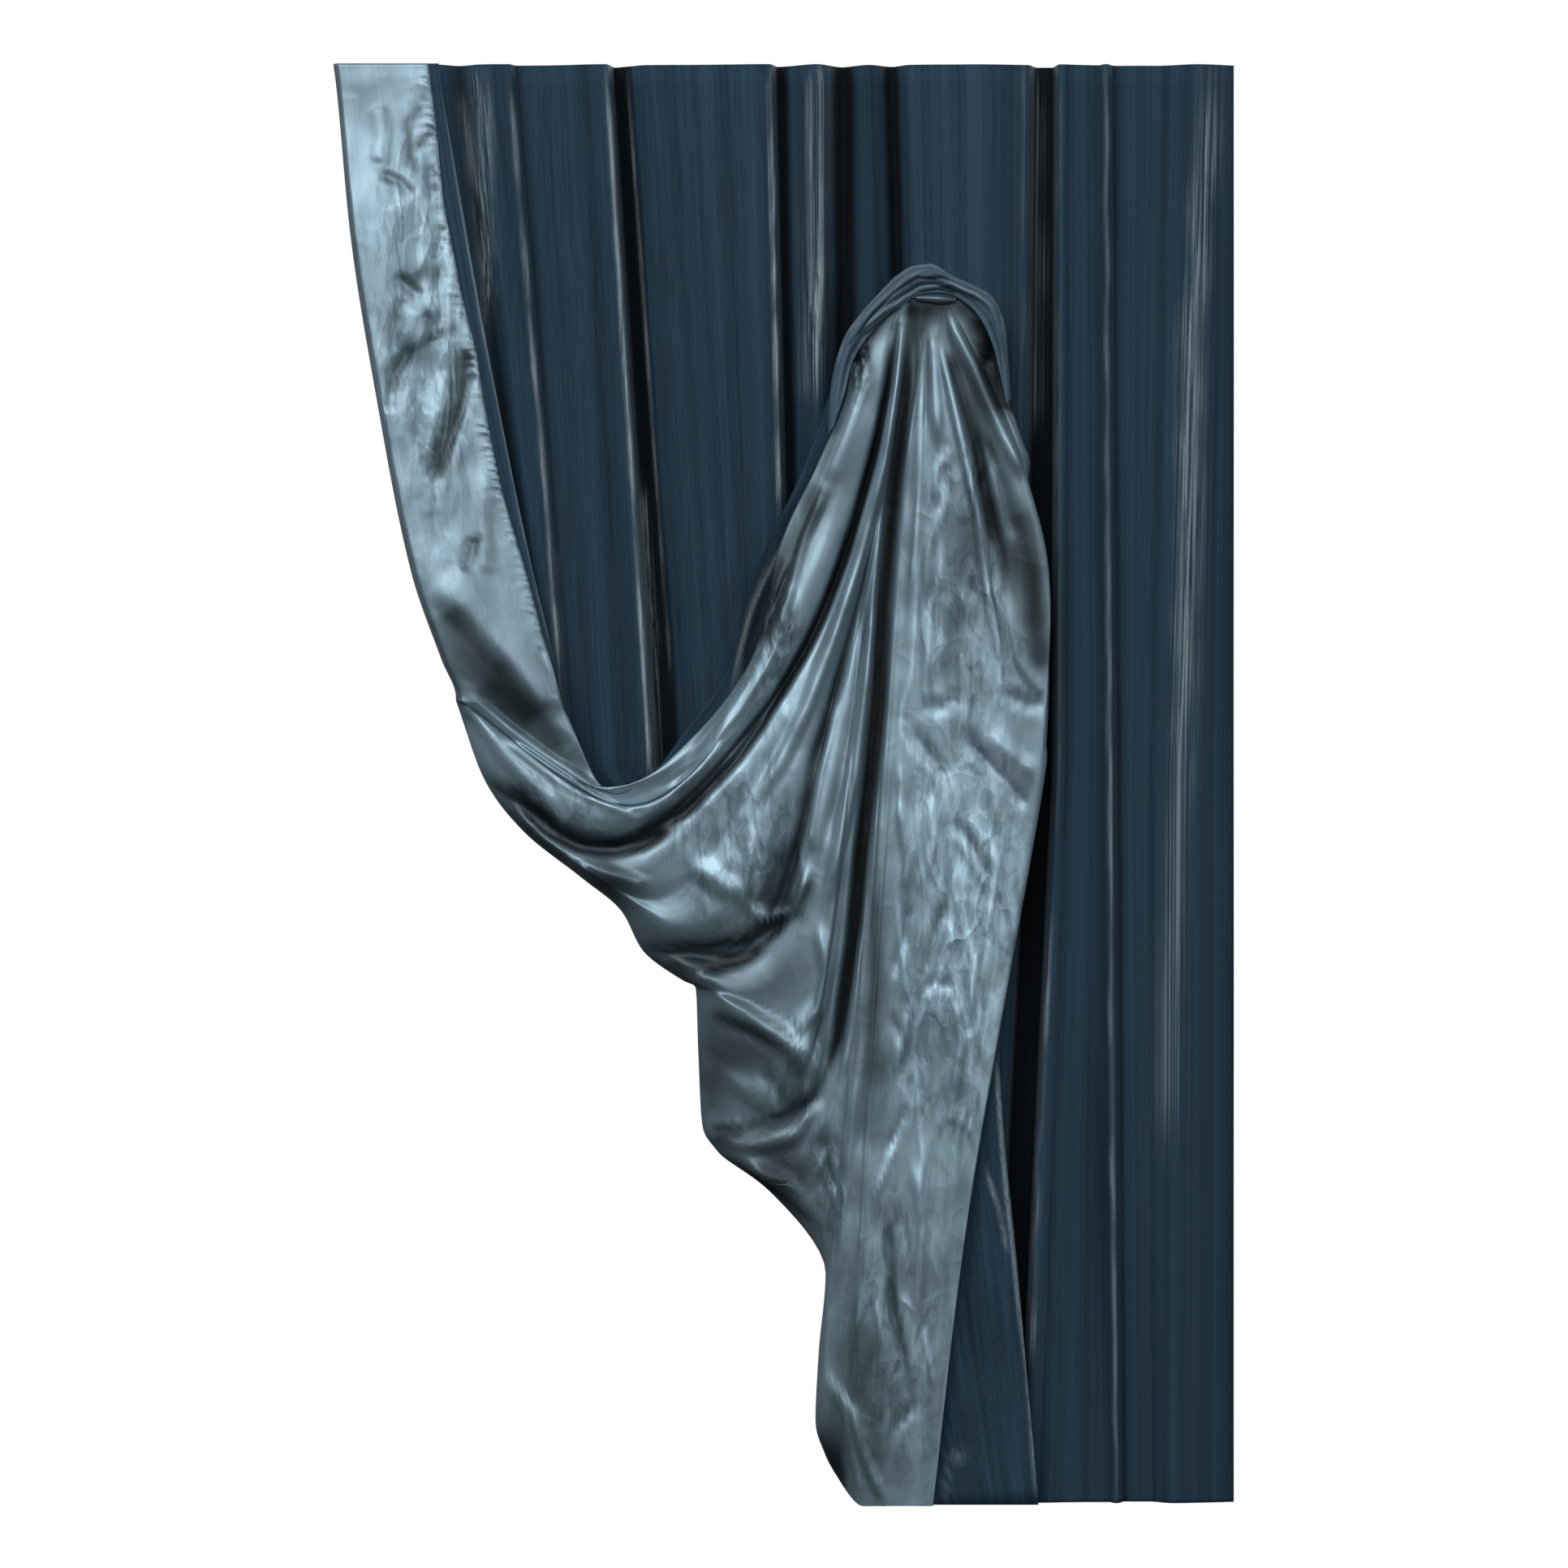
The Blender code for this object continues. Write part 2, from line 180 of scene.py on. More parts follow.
def through(knots, values, wanted):
    """Smooth values between given ones, never past them. The first axis of values follows the knots."""
    knots = np.asarray(knots, float)
    values = np.asarray(values, float)
    wanted = np.clip(np.asarray(wanted, float), knots[0], knots[-1])
    shape = (-1,) + (1,) * (values.ndim - 1)
    steps = np.diff(knots).reshape(shape)
    rise = np.diff(values, axis=0) / steps
    slopes = np.zeros_like(values)
    before, after = rise[:-1], rise[1:]
    same_way = before * after > 0
    total = np.where(same_way, before + after, 1.0)
    slopes[1:-1] = np.where(same_way, 2 * before * after / total, 0.0)
    slopes[0] = rise[0]
    slopes[-1] = rise[-1]
    k = np.clip(np.searchsorted(knots, wanted, side="right") - 1, 0, len(knots) - 2)
    step = (knots[k + 1] - knots[k]).reshape(shape)
    t = (wanted - knots[k]).reshape(shape) / step
    start = (1 + 2 * t) * (1 - t) ** 2
    end = t * t * (3 - 2 * t)
    leave = t * (1 - t) ** 2 * step
    arrive = t * t * (t - 1) * step
    return start * values[k] + end * values[k + 1] + leave * slopes[k] + arrive * slopes[k + 1]


print("half way from 0 to 1:", float(through([0, 1, 2], [0.0, 1.0, 1.5], [0.5])[0]))

# %% A curve through drawn points
CURVE_STEPS = 24            # fine steps between two drawn points


def curve_through(points, wanted):
    """Places at the wanted shares of the length of a smooth curve through the points."""
    points = np.array(points, float)
    ends = np.vstack([2 * points[0] - points[1], points, 2 * points[-1] - points[-2]])
    fine = []
    for a, b, c, d in zip(ends, ends[1:], ends[2:], ends[3:]):
        for t in np.linspace(0, 1, CURVE_STEPS, endpoint=False):
            fine.append(0.5 * (2 * b + (c - a) * t + (2 * a - 5 * b + 4 * c - d) * t ** 2
                               + (3 * b - a - 3 * c + d) * t ** 3))
    fine = np.array(fine + [points[-1]])
    along = np.concatenate([[0], np.cumsum(np.linalg.norm(np.diff(fine, axis=0), axis=1))])
    wanted = np.asarray(wanted) * along[-1]
    return np.array([np.interp(wanted, along, fine[:, k]) for k in range(2)]).T


def unevenness(x, drop, wide, tall, seed):
    """Smooth random heights, about 0.5 either way, with bumps so wide and so tall."""
    bumps = [noise.noise(Vector((a / wide, b / tall, seed))) for a, b in zip(x.ravel(), drop.ravel())]
    return np.array(bumps).reshape(x.shape)


print("a curve's middle:", curve_through([(0, 0), (1, 1), (2, 0)], [0.5])[0])

# %% [markdown]
# ## Drawing creases
#
# A crease is a line on the cloth, as a maker would chalk it: a few places, how high it stands (or how
# deep it lies, below zero), and how far its slope reaches on either side. A short reach on one side gives
# the sharp lip of a fold that lies over its neighbour. Places are x, to the right of the middle, and
# drop, below the top edge. For a line drawn downwards the first reach is to its left; for one drawn
# to the right, the first reach is below it. Worn lines and lines of light are drawn in the same way, with
# a width and a strength instead.

# %% Heights of drawn creases
def nearest_on(line, x, drop):
    """Distance from each place to a drawn line, its side, and the share of the line's length there."""
    points = np.array(line, float)
    lengths = np.linalg.norm(np.diff(points, axis=0), axis=1)
    before = np.concatenate([[0], np.cumsum(lengths)])
    best = np.full(x.shape, 9.0)
    side = np.ones(x.shape)
    share = np.zeros(x.shape)
    for k, (a, b) in enumerate(zip(points, points[1:])):
        run = b - a
        t = np.clip(((x - a[0]) * run[0] + (drop - a[1]) * run[1]) / lengths[k] ** 2, 0, 1)
        away_x = x - (a[0] + t * run[0])
        away_drop = drop - (a[1] + t * run[1])
        distance = np.hypot(away_x, away_drop)
        closer = distance < best
        best = np.where(closer, distance, best)
        side = np.where(closer, run[0] * away_drop - run[1] * away_x, side)
        share = np.where(closer, (before[k] + t * lengths[k]) / before[-1], share)
    return best, side, share


def drawn_height(x, drop, creases):
    """The height that all drawn creases give at each place."""
    total = np.zeros(x.shape)
    for line, height, first_reach, second_reach in creases:
        distance, side, share = nearest_on(line, x, drop)
        reach = np.where(side > 0, first_reach, second_reach)
        fade = smooth(share / 0.14) * smooth((1 - share) / 0.14)
        total += height * (1 - smooth(distance / reach)) * (0.15 + 0.85 * fade) * (distance < reach)
    return total


def drawn_marks(x, drop, marks):
    """How worn the pile is at each place, from lines with a width and a strength."""
    total = np.zeros(x.shape)
    for line, width, strength in marks:
        distance, _, share = nearest_on(line, x, drop)
        fade = smooth(share / 0.08) * smooth((1 - share) / 0.08)
        total = np.maximum(total, strength * np.exp(-(distance / width) ** 2) * (0.1 + 0.9 * fade))
    return total


test_crease = [([(0, 0), (0, 1)], 0.01, 0.02, 0.02)]
print("height on a test crease:", float(drawn_height(np.array([0.0]), np.array([0.5]), test_crease)[0]))

# %% [markdown]
# ### From places to a mesh
#
# A cloth could be one big grid, but a real one has parts that run different ways. So a piece may have
# several grids, and where two of them meet their equal corners become one. Each corner also keeps its
# place on the flat cloth, for the weave, and a few marks that say how hollow, worn or crushed it is there,
# for the colours. The thickness is a modifier, so the sheet itself stays simple.

# %% Corners and faces from grids of places
def shared_corners(grids, widths, marks):
    """Corners and faces of one cloth from its grids, where equal places share one corner.

    Each corner also gets its place on the flat cloth, in metres, across and along, and its marks.
    """
    places = []
    on_cloth = []
    marked = {mark: [] for mark in marks}
    index = {}
    faces = []
    for g, (grid, across) in enumerate(zip(grids, widths)):
        grid = np.asarray(grid)
        steps = np.linalg.norm(np.diff(grid, axis=1), axis=2)
        along = np.concatenate([np.zeros((len(grid), 1)), np.cumsum(steps, axis=1)], axis=1)
        numbers = np.zeros(grid.shape[:2], int)
        keys = np.round(grid, 6)
        for r in range(grid.shape[0]):
            for c in range(grid.shape[1]):
                key = tuple(keys[r, c])
                if key not in index:
                    index[key] = len(places)
                    x, forward, drop = grid[r, c]
                    places.append((x, -forward, -drop))
                    on_cloth.append((across[r, c], along[r, c]))
                    for mark, values in marks.items():
                        marked[mark].append(values[g][r, c])
                numbers[r, c] = index[key]
        for upper, lower in zip(numbers, numbers[1:]):
            for k in range(len(upper) - 1):
                corners = [int(upper[k]), int(lower[k]), int(lower[k + 1]), int(upper[k + 1])]
                corners = [n for m, n in enumerate(corners) if n not in corners[:m]]
                if len(corners) > 2:
                    faces.append(corners)
    return places, on_cloth, marked, faces


square = np.array([[(0.0, 0.0, 0.0), (0.0, 0.0, 1.0)], [(1.0, 0.0, 0.0), (1.0, 0.0, 1.0)]])
square_faces = shared_corners([square], [square[..., 0]], {})[3]
print("a grid of two by two places has", len(square_faces), "face")

# %% One cloth from its grids
def cloth_piece(name, grids, thickness, widths, marks):
    """One cloth from grids of (x, forward, drop), with its thickness.

    The cloth map holds each corner's place on the flat cloth. Each of the marks is a name with one grid
    of values for each grid of places, for the shader.
    """
    places, on_cloth, marked, faces = shared_corners(grids, widths, marks)
    mesh = bpy.data.meshes.new(name)
    mesh.from_pydata(places, [], faces)
    mesh.shade_smooth()
    layer = mesh.uv_layers.new(name="cloth")
    corner_of = np.zeros(len(mesh.loops), int)
    mesh.loops.foreach_get("vertex_index", corner_of)
    layer.data.foreach_set("uv", np.array(on_cloth, float)[corner_of].ravel())
    for mark, values in marked.items():
        attribute = mesh.attributes.new(mark, "FLOAT", "POINT")
        attribute.data.foreach_set("value", np.array(values, float))
    piece = bpy.data.objects.new(name, mesh)
    bpy.context.scene.collection.objects.link(piece)
    solid = piece.modifiers.new("Thickness", "SOLIDIFY")
    solid.thickness = thickness
    solid.offset = 0.0
    print(name, "has", len(places), "points and", len(faces), "faces")
    return piece


print("each cloth prints its own size when it is made")

# %% Hollows of a grid
def hollows(forward, across, along, depth):
    """How far each place lies in a hollow, from 0 to 1: behind the mean of the places around it."""
    mean = np.asarray(forward, float)
    for axis, reach in ((0, across), (1, along)):
        if reach:
            ends = [(0, 0), (0, 0)]
            ends[axis] = (reach + 1, reach)
            total = np.cumsum(np.pad(mean, ends, mode="edge"), axis=axis)
            size = 2 * reach + 1
            mean = (np.take(total, range(size, total.shape[axis]), axis=axis)
                    - np.take(total, range(total.shape[axis] - size), axis=axis)) / size
    return smooth((mean - forward) / depth)


ripple = np.array([[0.0, 0.0, -0.01, 0.0, 0.0]])
print("a dip in a row is hollow by", hollows(ripple, 0, 1, 0.01).round(2).tolist()[0])

# %% [markdown]
# ## The main sizes of the drape
#
# These are the same sizes and lines as the solid model has, so that each cloth lies where its solid is.
# Each section is one row of thread across the cloth: it folds at the left, and comes back to the
# leading edge, which shows all the way from the top, round the swag, up to the throat and down the tail.

# %% Sizes
DROP = 2.125                # height of cloth that hangs
VELVET_THICK = 0.0026
SATIN_THICK = 0.0014
TIE_THICK = 0.0030
LINING_GAP = 0.007          # air between the turned velvet and its lining
SEWN_GAP = 0.0006           # and where one cloth is sewn to another
SEAM_FORWARD = 0.010        # where the satin ends, round the fold
STAND = 0.024               # how far the turned velvet stands forward at the top
SWAG_STAND = 0.016          # how much further it stands in the swag
THROAT_SWELL = 0.030        # and how much further at the gathered throat
SWELL_REACH = 0.27          # how far round the throat it swells
SEWN_DROP = 0.030           # the lining is sewn flat to the velvet down to here
SWAG_DROP = 1.05            # depth at which the swag starts to hide the hanging folds
THROAT_FORWARD = 0.074      # the gathered throat under the tieback lies flat here
THROAT_MIDDLE = (0.200, 0.420)
THROAT_LEFT = (0.160, 0.350)        # its ends under the tieback
THROAT_RIGHT = (0.252, 0.350)

# fold x, fold drop, edge x, edge drop
SECTIONS = [
    (-0.665, 0.000, -0.509, 0.000),
    (-0.661, 0.030, -0.506, 0.030),
    (-0.640, 0.250, -0.468, 0.250),
    (-0.600, 0.500, -0.422, 0.500),
    (-0.550, 0.750, -0.370, 0.750),
    (-0.505, 0.880, -0.338, 0.880),
    (-0.484, 0.935, -0.323, 0.950),
    (-0.455, 1.000, -0.308, 1.010),
    (-0.440, 1.060, -0.290, 1.050),
    (-0.395, 1.120, -0.265, 1.075),
    (-0.350, 1.170, -0.235, 1.080),
    (-0.300, 1.200, -0.200, 1.055),
    (-0.240, 1.250, -0.145, 0.985),
    (-0.207, 1.310, -0.082, 0.895),
    (-0.130, 1.362, -0.045, 0.760),
    (-0.126, 1.470, 0.032, 0.590),
    (-0.120, 1.567, 0.090, 0.440),
    (-0.098, 1.605, 0.200, 0.345),
    (-0.020, 1.665, 0.320, 0.450),
    (0.062, 1.785, 0.368, 0.850),
    (0.052, 1.900, 0.335, 1.200),
    (0.047, 2.000, 0.318, 1.460),
    (0.062, 2.055, 0.346, 1.800),
    (0.115, 2.125, 0.375, 2.125),
]


def backing(x, drop):
    """How far forward the turned velvet stands: it swells towards the gathered throat."""
    away = (x - THROAT_MIDDLE[0]) ** 2 + (drop - THROAT_MIDDLE[1]) ** 2
    near = np.exp(-away / SWELL_REACH ** 2)
    return STAND + SWAG_STAND * smooth((drop - SEWN_DROP) / SWAG_DROP) + THROAT_SWELL * near


throat_stand = float(backing(*THROAT_MIDDLE))
print(len(SECTIONS), "sections; the turned velvet stands", round(throat_stand, 3), "m forward at the throat")

# %% [markdown]
# ## The velvet
#
# The velvet is one long panel. It hangs in pleats of uneven width: broad flat faces that end in a sharp
# rolled edge, with a narrow deep hollow behind it. A row of the table below is one such line, as x at the
# top, x where the swag starts, x at the bottom, and how far forward it stands. A line without a bottom x
# disappears behind the swag, where the folds grow calmer. A regular wave would be quicker to make, but no
# two pleats here are alike.

# %% Fold lines of the hanging velvet
FOLDS = [
    # x at the top, x at the swag, x at the bottom where it shows, forward
    (-0.600, -0.415, None, -0.004),
    (-0.515, -0.365, None, 0.006),
    (-0.482, -0.350, None, -0.018),
    (-0.450, -0.335, None, 0.008),
    (-0.408, -0.318, None, 0.014),
    (-0.396, -0.305, None, -0.012),
    (-0.330, -0.262, None, -0.004),
    (-0.264, -0.197, None, 0.014),
    (-0.252, -0.182, None, -0.046),
    (-0.232, -0.156, None, -0.028),
    (-0.205, -0.128, None, -0.002),
    (-0.120, -0.060, None, 0.004),
    (-0.022, 0.003, None, 0.014),
    (-0.010, 0.016, None, -0.034),
    (0.012, 0.034, None, -0.018),
    (0.048, 0.056, None, 0.014),
    (0.086, 0.092, None, -0.040),
    (0.125, 0.150, None, 0.002),
    (0.160, 0.188, None, -0.034),
    (0.186, 0.212, None, 0.002),
    (0.280, 0.290, None, 0.010),
    (0.360, 0.350, 0.296, -0.002),
    (0.376, 0.366, 0.310, -0.048),
    (0.399, 0.396, 0.346, -0.048),
    (0.408, 0.405, 0.354, 0.010),
    (0.440, 0.442, 0.420, 0.000),
    (0.466, 0.472, 0.482, -0.006),
    (0.475, 0.482, 0.491, 0.014),
    (0.488, 0.496, 0.504, -0.014),
    (0.550, 0.532, 0.540, -0.014),
    (0.615, 0.582, 0.574, 0.013),
    (0.665, 0.665, 0.665, -0.010),
]
print(len(FOLDS), "fold lines, from", FOLDS[0][0], "to", FOLDS[-1][0], "m at the top")

# %% Where the fold lines hang
FOLD_STEP = 0.0042          # widest space between two points across the pleats
ROW_STEP = 0.030            # and down them
BAND_TUCK = 0.024           # how far the velvet's fold lies inside the satin's fold, in the band
SWAG_TUCK = 0.044           # and in the swag
PLEAT_POINTS = (5, 14)      # fewest and most points from one fold line to the next
RUN_IN_POINTS = 8           # points from the last pleat to the velvet's fold
FOLD_POINTS = 10            # points round the fold
FOLD_RADIUS = 0.014


def hanging_lines(drop, fold_x):
    """The x and forward of each hanging fold line at one drop, from left to right."""
    low = np.array([row[1] for row in FOLDS])
    forward = np.array([row[3] for row in FOLDS])
    if drop <= SWAG_DROP:
        top = np.array([row[0] for row in FOLDS])
        return top + (low - top) * drop / SWAG_DROP, forward
    down = (drop - SWAG_DROP) / (DROP - SWAG_DROP)
    shown = [k for k, row in enumerate(FOLDS) if row[2] is not None]
    places = low.copy()
    for k in shown:
        places[k] = low[k] + (FOLDS[k][2] - low[k]) * down
    first = shown[0]
    swag_fold = np.interp(SWAG_DROP, [s[1] for s in SECTIONS], [s[0] for s in SECTIONS])
    share = (low[:first] - swag_fold) / (low[first] - swag_fold)
    calm_x = np.interp(drop, [SWAG_DROP, 1.40, DROP], [swag_fold, -0.060, 0.110])
    start_x = fold_x + (calm_x - fold_x) * smooth(share / 0.35)
    places[:first] = start_x + share * (places[first] - start_x)
    squeeze = np.ones(len(FOLDS))
    squeeze[:first] = (places[first] - fold_x) / (low[first] - swag_fold)
    return places, squeeze * forward


low_places = hanging_lines(DROP, 0.0)[0]
print("the last fold line is at", round(float(low_places[-1]), 3), "m at the bottom")

# %% Rows of the velvet
def finer_sections():
    """Sections at most one row step apart, with the given ones among them."""
    given = np.array(SECTIONS)
    wanted = [0.0]
    for k, (a, b) in enumerate(zip(given, given[1:])):
        parts = int(math.ceil(max(abs(b[1] - a[1]), abs(b[3] - a[3]), abs(b[2] - a[2])) / ROW_STEP))
        wanted += list(k + np.arange(1, parts + 1) / parts)
    return through(np.arange(len(given)), given, wanted)


def across_steps():
    """Where the points across the pleats lie, counted in fold lines from the right."""
    tops = [row[0] for row in FOLDS]
    steps = []
    for k in range(len(tops) - 1, 1, -1):
        parts = int(math.ceil((tops[k] - tops[k - 1]) / FOLD_STEP))
        parts = min(max(parts, PLEAT_POINTS[0]), PLEAT_POINTS[1])
        steps += list(k - np.arange(parts) / parts)
    return np.array(steps + [1.0])


def velvet_rows():
    """The velvet from its right edge, round the fold, and back to the leading edge."""
    steps = across_steps()
    lines = np.arange(len(FOLDS))
    turned = np.concatenate([np.linspace(0, 0.85, 22), np.linspace(0.85, 1, 9)[1:]])
    rows = []
    for fold_x, fold_drop, edge_x, edge_drop in finer_sections():
        inner = fold_x + BAND_TUCK + (SWAG_TUCK - BAND_TUCK) * smooth((fold_drop - 0.9) / 0.3)
        xs, forwards = hanging_lines(fold_drop, inner)
        field_x = np.interp(steps, lines, xs)
        field_forward = through(lines, forwards, steps)
        stand = float(backing(inner, fold_drop))
        start_x = max(xs[0], inner + FOLD_RADIUS)
        row = [(x, f, fold_drop) for x, f in zip(field_x, field_forward)]
        for share in np.linspace(0, 1, RUN_IN_POINTS + 1)[1:]:
            x = field_x[-1] + (start_x - field_x[-1]) * share
            row.append((x, field_forward[-1] * (1 - share), fold_drop))
        for angle in np.linspace(0, math.pi, FOLD_POINTS + 1)[1:]:
            x = inner + FOLD_RADIUS * (1 - math.sin(angle))
            row.append((x, stand * (1 - math.cos(angle)) / 2, fold_drop))
        for share in turned[1:]:
            x = inner + FOLD_RADIUS + (edge_x - inner - FOLD_RADIUS) * share
            drop = fold_drop + (edge_drop - fold_drop) * share
            row.append((x, float(backing(x, drop)), drop))
        rows.append(row)
    return np.array(rows), len(steps)


velvet_grid, velvet_field = velvet_rows()
print("velvet grid", velvet_grid.shape, "of which", velvet_field, "across the hanging part")

# %% [markdown]
# ### Creases, worn lines and painted sheen of the velvet
#
# Old silk velvet loses its pile where it is folded, so each rolled edge shows a thin pale line: worn pile
# with a painted sheen on it. Along the crests of the soft folds broad pale streaks of sheen are painted. The
# lines are drawn once and used twice: the shader lightens the pile along them, and the hem seam is also
# pressed into the mesh. A worn line strays a little and comes and goes along its length, because the pile
# doesn't wear evenly. The creased strip of turned velvet beside the sweep gets painted shade.

# %% Worn lines
# Thin pale lines on the rolled edges: worn pile with a painted sheen on it.
EDGE_WEAR_AND_SHEEN = [
    # line, width, strength
    ([(-0.408, 0.0), (-0.382, 0.30), (-0.348, 0.70), (-0.330, 0.92)], 0.0030, 0.60),
    ([(-0.264, 0.0), (-0.235, 0.45), (-0.216, 0.75), (-0.195, 1.08)], 0.0026, 1.00),
    ([(-0.232, 0.0), (-0.196, 0.50), (-0.166, 0.95)], 0.0016, 0.35),
    ([(-0.022, 0.0), (-0.010, 0.50), (-0.006, 0.66)], 0.0024, 1.00),
    ([(0.475, 0.0), (0.481, 1.20), (0.491, 2.12)], 0.0020, 0.62),
    ([(0.408, 0.0), (0.405, 1.05), (0.400, 1.18)], 0.0016, 0.22),
    ([(0.398, 1.20), (0.376, 1.65), (0.363, 1.93)], 0.0016, 0.60),
    ([(-0.482, 0.02), (-0.455, 0.20), (-0.440, 0.40)], 0.0080, 0.25),
]
# Soft crests with a painted sheen: broad pale streaks of light painted along them.
PAINTED_SHEEN_STREAKS = [
    ([(-0.450, 0.0), (-0.447, 0.12), (-0.440, 0.36)], 0.012, 0.75),
    ([(0.055, 0.0), (0.047, 0.16), (0.048, 0.30), (0.040, 0.50)], 0.014, 1.00),
    ([(0.368, 0.0), (0.370, 0.30), (0.366, 0.55)], 0.012, 0.60),
    ([(0.632, 0.0), (0.600, 0.45), (0.596, 0.80), (0.575, 1.25), (0.568, 1.62)], 0.015, 0.90),
    ([(-0.345, 0.70), (-0.335, 0.85), (-0.330, 0.98)], 0.007, 0.35),
    ([(-0.215, 0.62), (-0.196, 0.90), (-0.190, 1.06)], 0.009, 0.80),
]
# Lines on the turned velvet, its folded edge and its hem: worn pile with a painted sheen on it.
TURNED_WEAR_AND_SHEEN = [
    ([(-0.509, 0.0), (-0.494, 0.10), (-0.478, 0.20), (-0.447, 0.38),
      (-0.422, 0.50), (-0.386, 0.68), (-0.338, 0.88)], 0.0020, 0.60),
    ([(0.311, 1.46), (0.319, 1.55), (0.326, 1.65), (0.336, 1.74),
      (0.346, 1.83), (0.359, 1.93), (0.373, 2.12)], 0.0032, 0.75),
    ([(0.300, 1.64), (0.318, 1.70), (0.331, 1.75)], 0.0022, 0.70),
    ([(0.368, 1.985), (0.302, 2.025), (0.250, 2.055), (0.236, 2.115)], 0.0026, 0.60),
    ([(0.002, 0.71), (-0.030, 0.76), (-0.050, 0.81), (-0.068, 0.88), (-0.072, 0.925)], 0.0035, 0.45),
]
HEM_CREASES = [
    # line, height, reach left or below, reach right or above
    ([(0.368, 1.985), (0.302, 2.025), (0.250, 2.055), (0.236, 2.115)], -0.0030, 0.009, 0.009),
    ([(0.277, 1.66), (0.272, 1.80), (0.280, 1.96)], -0.0080, 0.018, 0.022),
    ([(0.300, 1.64), (0.318, 1.70), (0.331, 1.75)], 0.0030, 0.007, 0.010),
    ([(0.325, 1.60), (0.330, 1.80), (0.330, 2.00)], 0.0040, 0.020, 0.012),
]
# The turned strip of velvet beside the sweep is creased, and shade is painted on its colour.
HEM_PAINTED_SHADE = [
    ([(0.060, 0.600), (0.010, 0.690), (-0.035, 0.780), (-0.055, 0.860), (-0.065, 0.920)], 0.020, 0.80),
]
# The same wander also moves the streaks of painted sheen.
WEAR_AND_SHEEN_WANDER = 0.0040        # how far a worn line strays to either side
print(len(EDGE_WEAR_AND_SHEEN) + len(PAINTED_SHEEN_STREAKS) + len(TURNED_WEAR_AND_SHEEN), "worn lines")

# %% Marks of wear and painted sheen on the velvet
field_x, field_drop = velvet_grid[:, :velvet_field, 0], velvet_grid[:, :velvet_field, 2]
turned_from = velvet_field + RUN_IN_POINTS + FOLD_POINTS
turned_x, turned_drop = velvet_grid[:, turned_from:, 0], velvet_grid[:, turned_from:, 2]
worn_and_sheen = np.zeros(velvet_grid.shape[:2])
wander = WEAR_AND_SHEEN_WANDER * unevenness(field_x, field_drop, 0.60, 0.090, 2.7)
patchy = np.clip(1 + 1.5 * unevenness(field_x, field_drop, 0.30, 0.080, 4.9), 0.3, 1.2)
worn_and_sheen[:, :velvet_field] = drawn_marks(field_x + wander, field_drop, EDGE_WEAR_AND_SHEEN) * patchy
painted_sheen = np.zeros(velvet_grid.shape[:2])
painted_sheen[:, :velvet_field] = drawn_marks(field_x + 2 * wander, field_drop, PAINTED_SHEEN_STREAKS)
worn_and_sheen[:, turned_from:] = drawn_marks(turned_x, turned_drop, TURNED_WEAR_AND_SHEEN)
velvet_grid[:, turned_from:, 1] += drawn_height(turned_x, turned_drop, HEM_CREASES)
print("worn share of the points:", round(float((worn_and_sheen > 0.3).mean()), 3))

# %% Uneven hang of the velvet
bumps = 0.0050 * unevenness(field_x, field_drop, 0.055, 0.55, 3.1)
bumps += 0.0018 * unevenness(field_x, field_drop, 0.022, 0.20, 7.7)
velvet_grid[:, :velvet_field, 1] += bumps * smooth(field_drop / 0.02 + 0.3)
row_widths = np.linalg.norm(np.diff(velvet_grid, axis=1), axis=2).mean(axis=0)
velvet_across = np.tile(np.concatenate([[0], np.cumsum(row_widths)]), (len(velvet_grid), 1))
# Painted shade of the velvet: its colour is darkened in its hollows, on the creased strip beside the sweep
# and in the deepest troughs.
velvet_painted_shade = hollows(velvet_grid[..., 1], 1, 7, 0.016)
velvet_painted_shade[:, velvet_field + RUN_IN_POINTS + 2:] *= 0.5      # the turned side lies in less shade
hem_painted_shade = drawn_marks(turned_x, turned_drop, HEM_PAINTED_SHADE)
velvet_painted_shade[:, turned_from:] = np.maximum(velvet_painted_shade[:, turned_from:], hem_painted_shade)
# Painted shade in the deepest troughs of the pleats.
deep = smooth((-0.015 - velvet_grid[:, :velvet_field, 1]) / 0.015)
velvet_painted_shade[:, :velvet_field] = np.maximum(velvet_painted_shade[:, :velvet_field], deep)
# The hollow mark carries the velvet's painted shade.
velvet = cloth_piece("velvet_drape", [velvet_grid], VELVET_THICK, [velvet_across],
                     {"worn_and_sheen": [worn_and_sheen], "painted_sheen": [painted_sheen], "hollow": [velvet_painted_shade]})
top_width = np.linalg.norm(np.diff(velvet_grid[0], axis=0), axis=1).sum()
print("flat width", round(float(top_width), 2), "m at the top,", round(float(velvet_across[0, -1]), 2),
      "m on average")

# %% [markdown]
# ## The satin lining
#
# The satin fans out from the gathered throat. Each row below is one fold of the fan: where it passes
# 0.6 m and 0.9 m below the top, where it turns, where it ends, and how far it stands out at three places
# on its way, because a fold that is a ridge at the throat may be a hollow in the swag. Between a ridge
# and a hollow the cloth is round at the ridge and sharp in the hollow, as tight satin is. The last line of
# the fan has its own route: it is the edge of the lining at the right of the tieback and the tail.

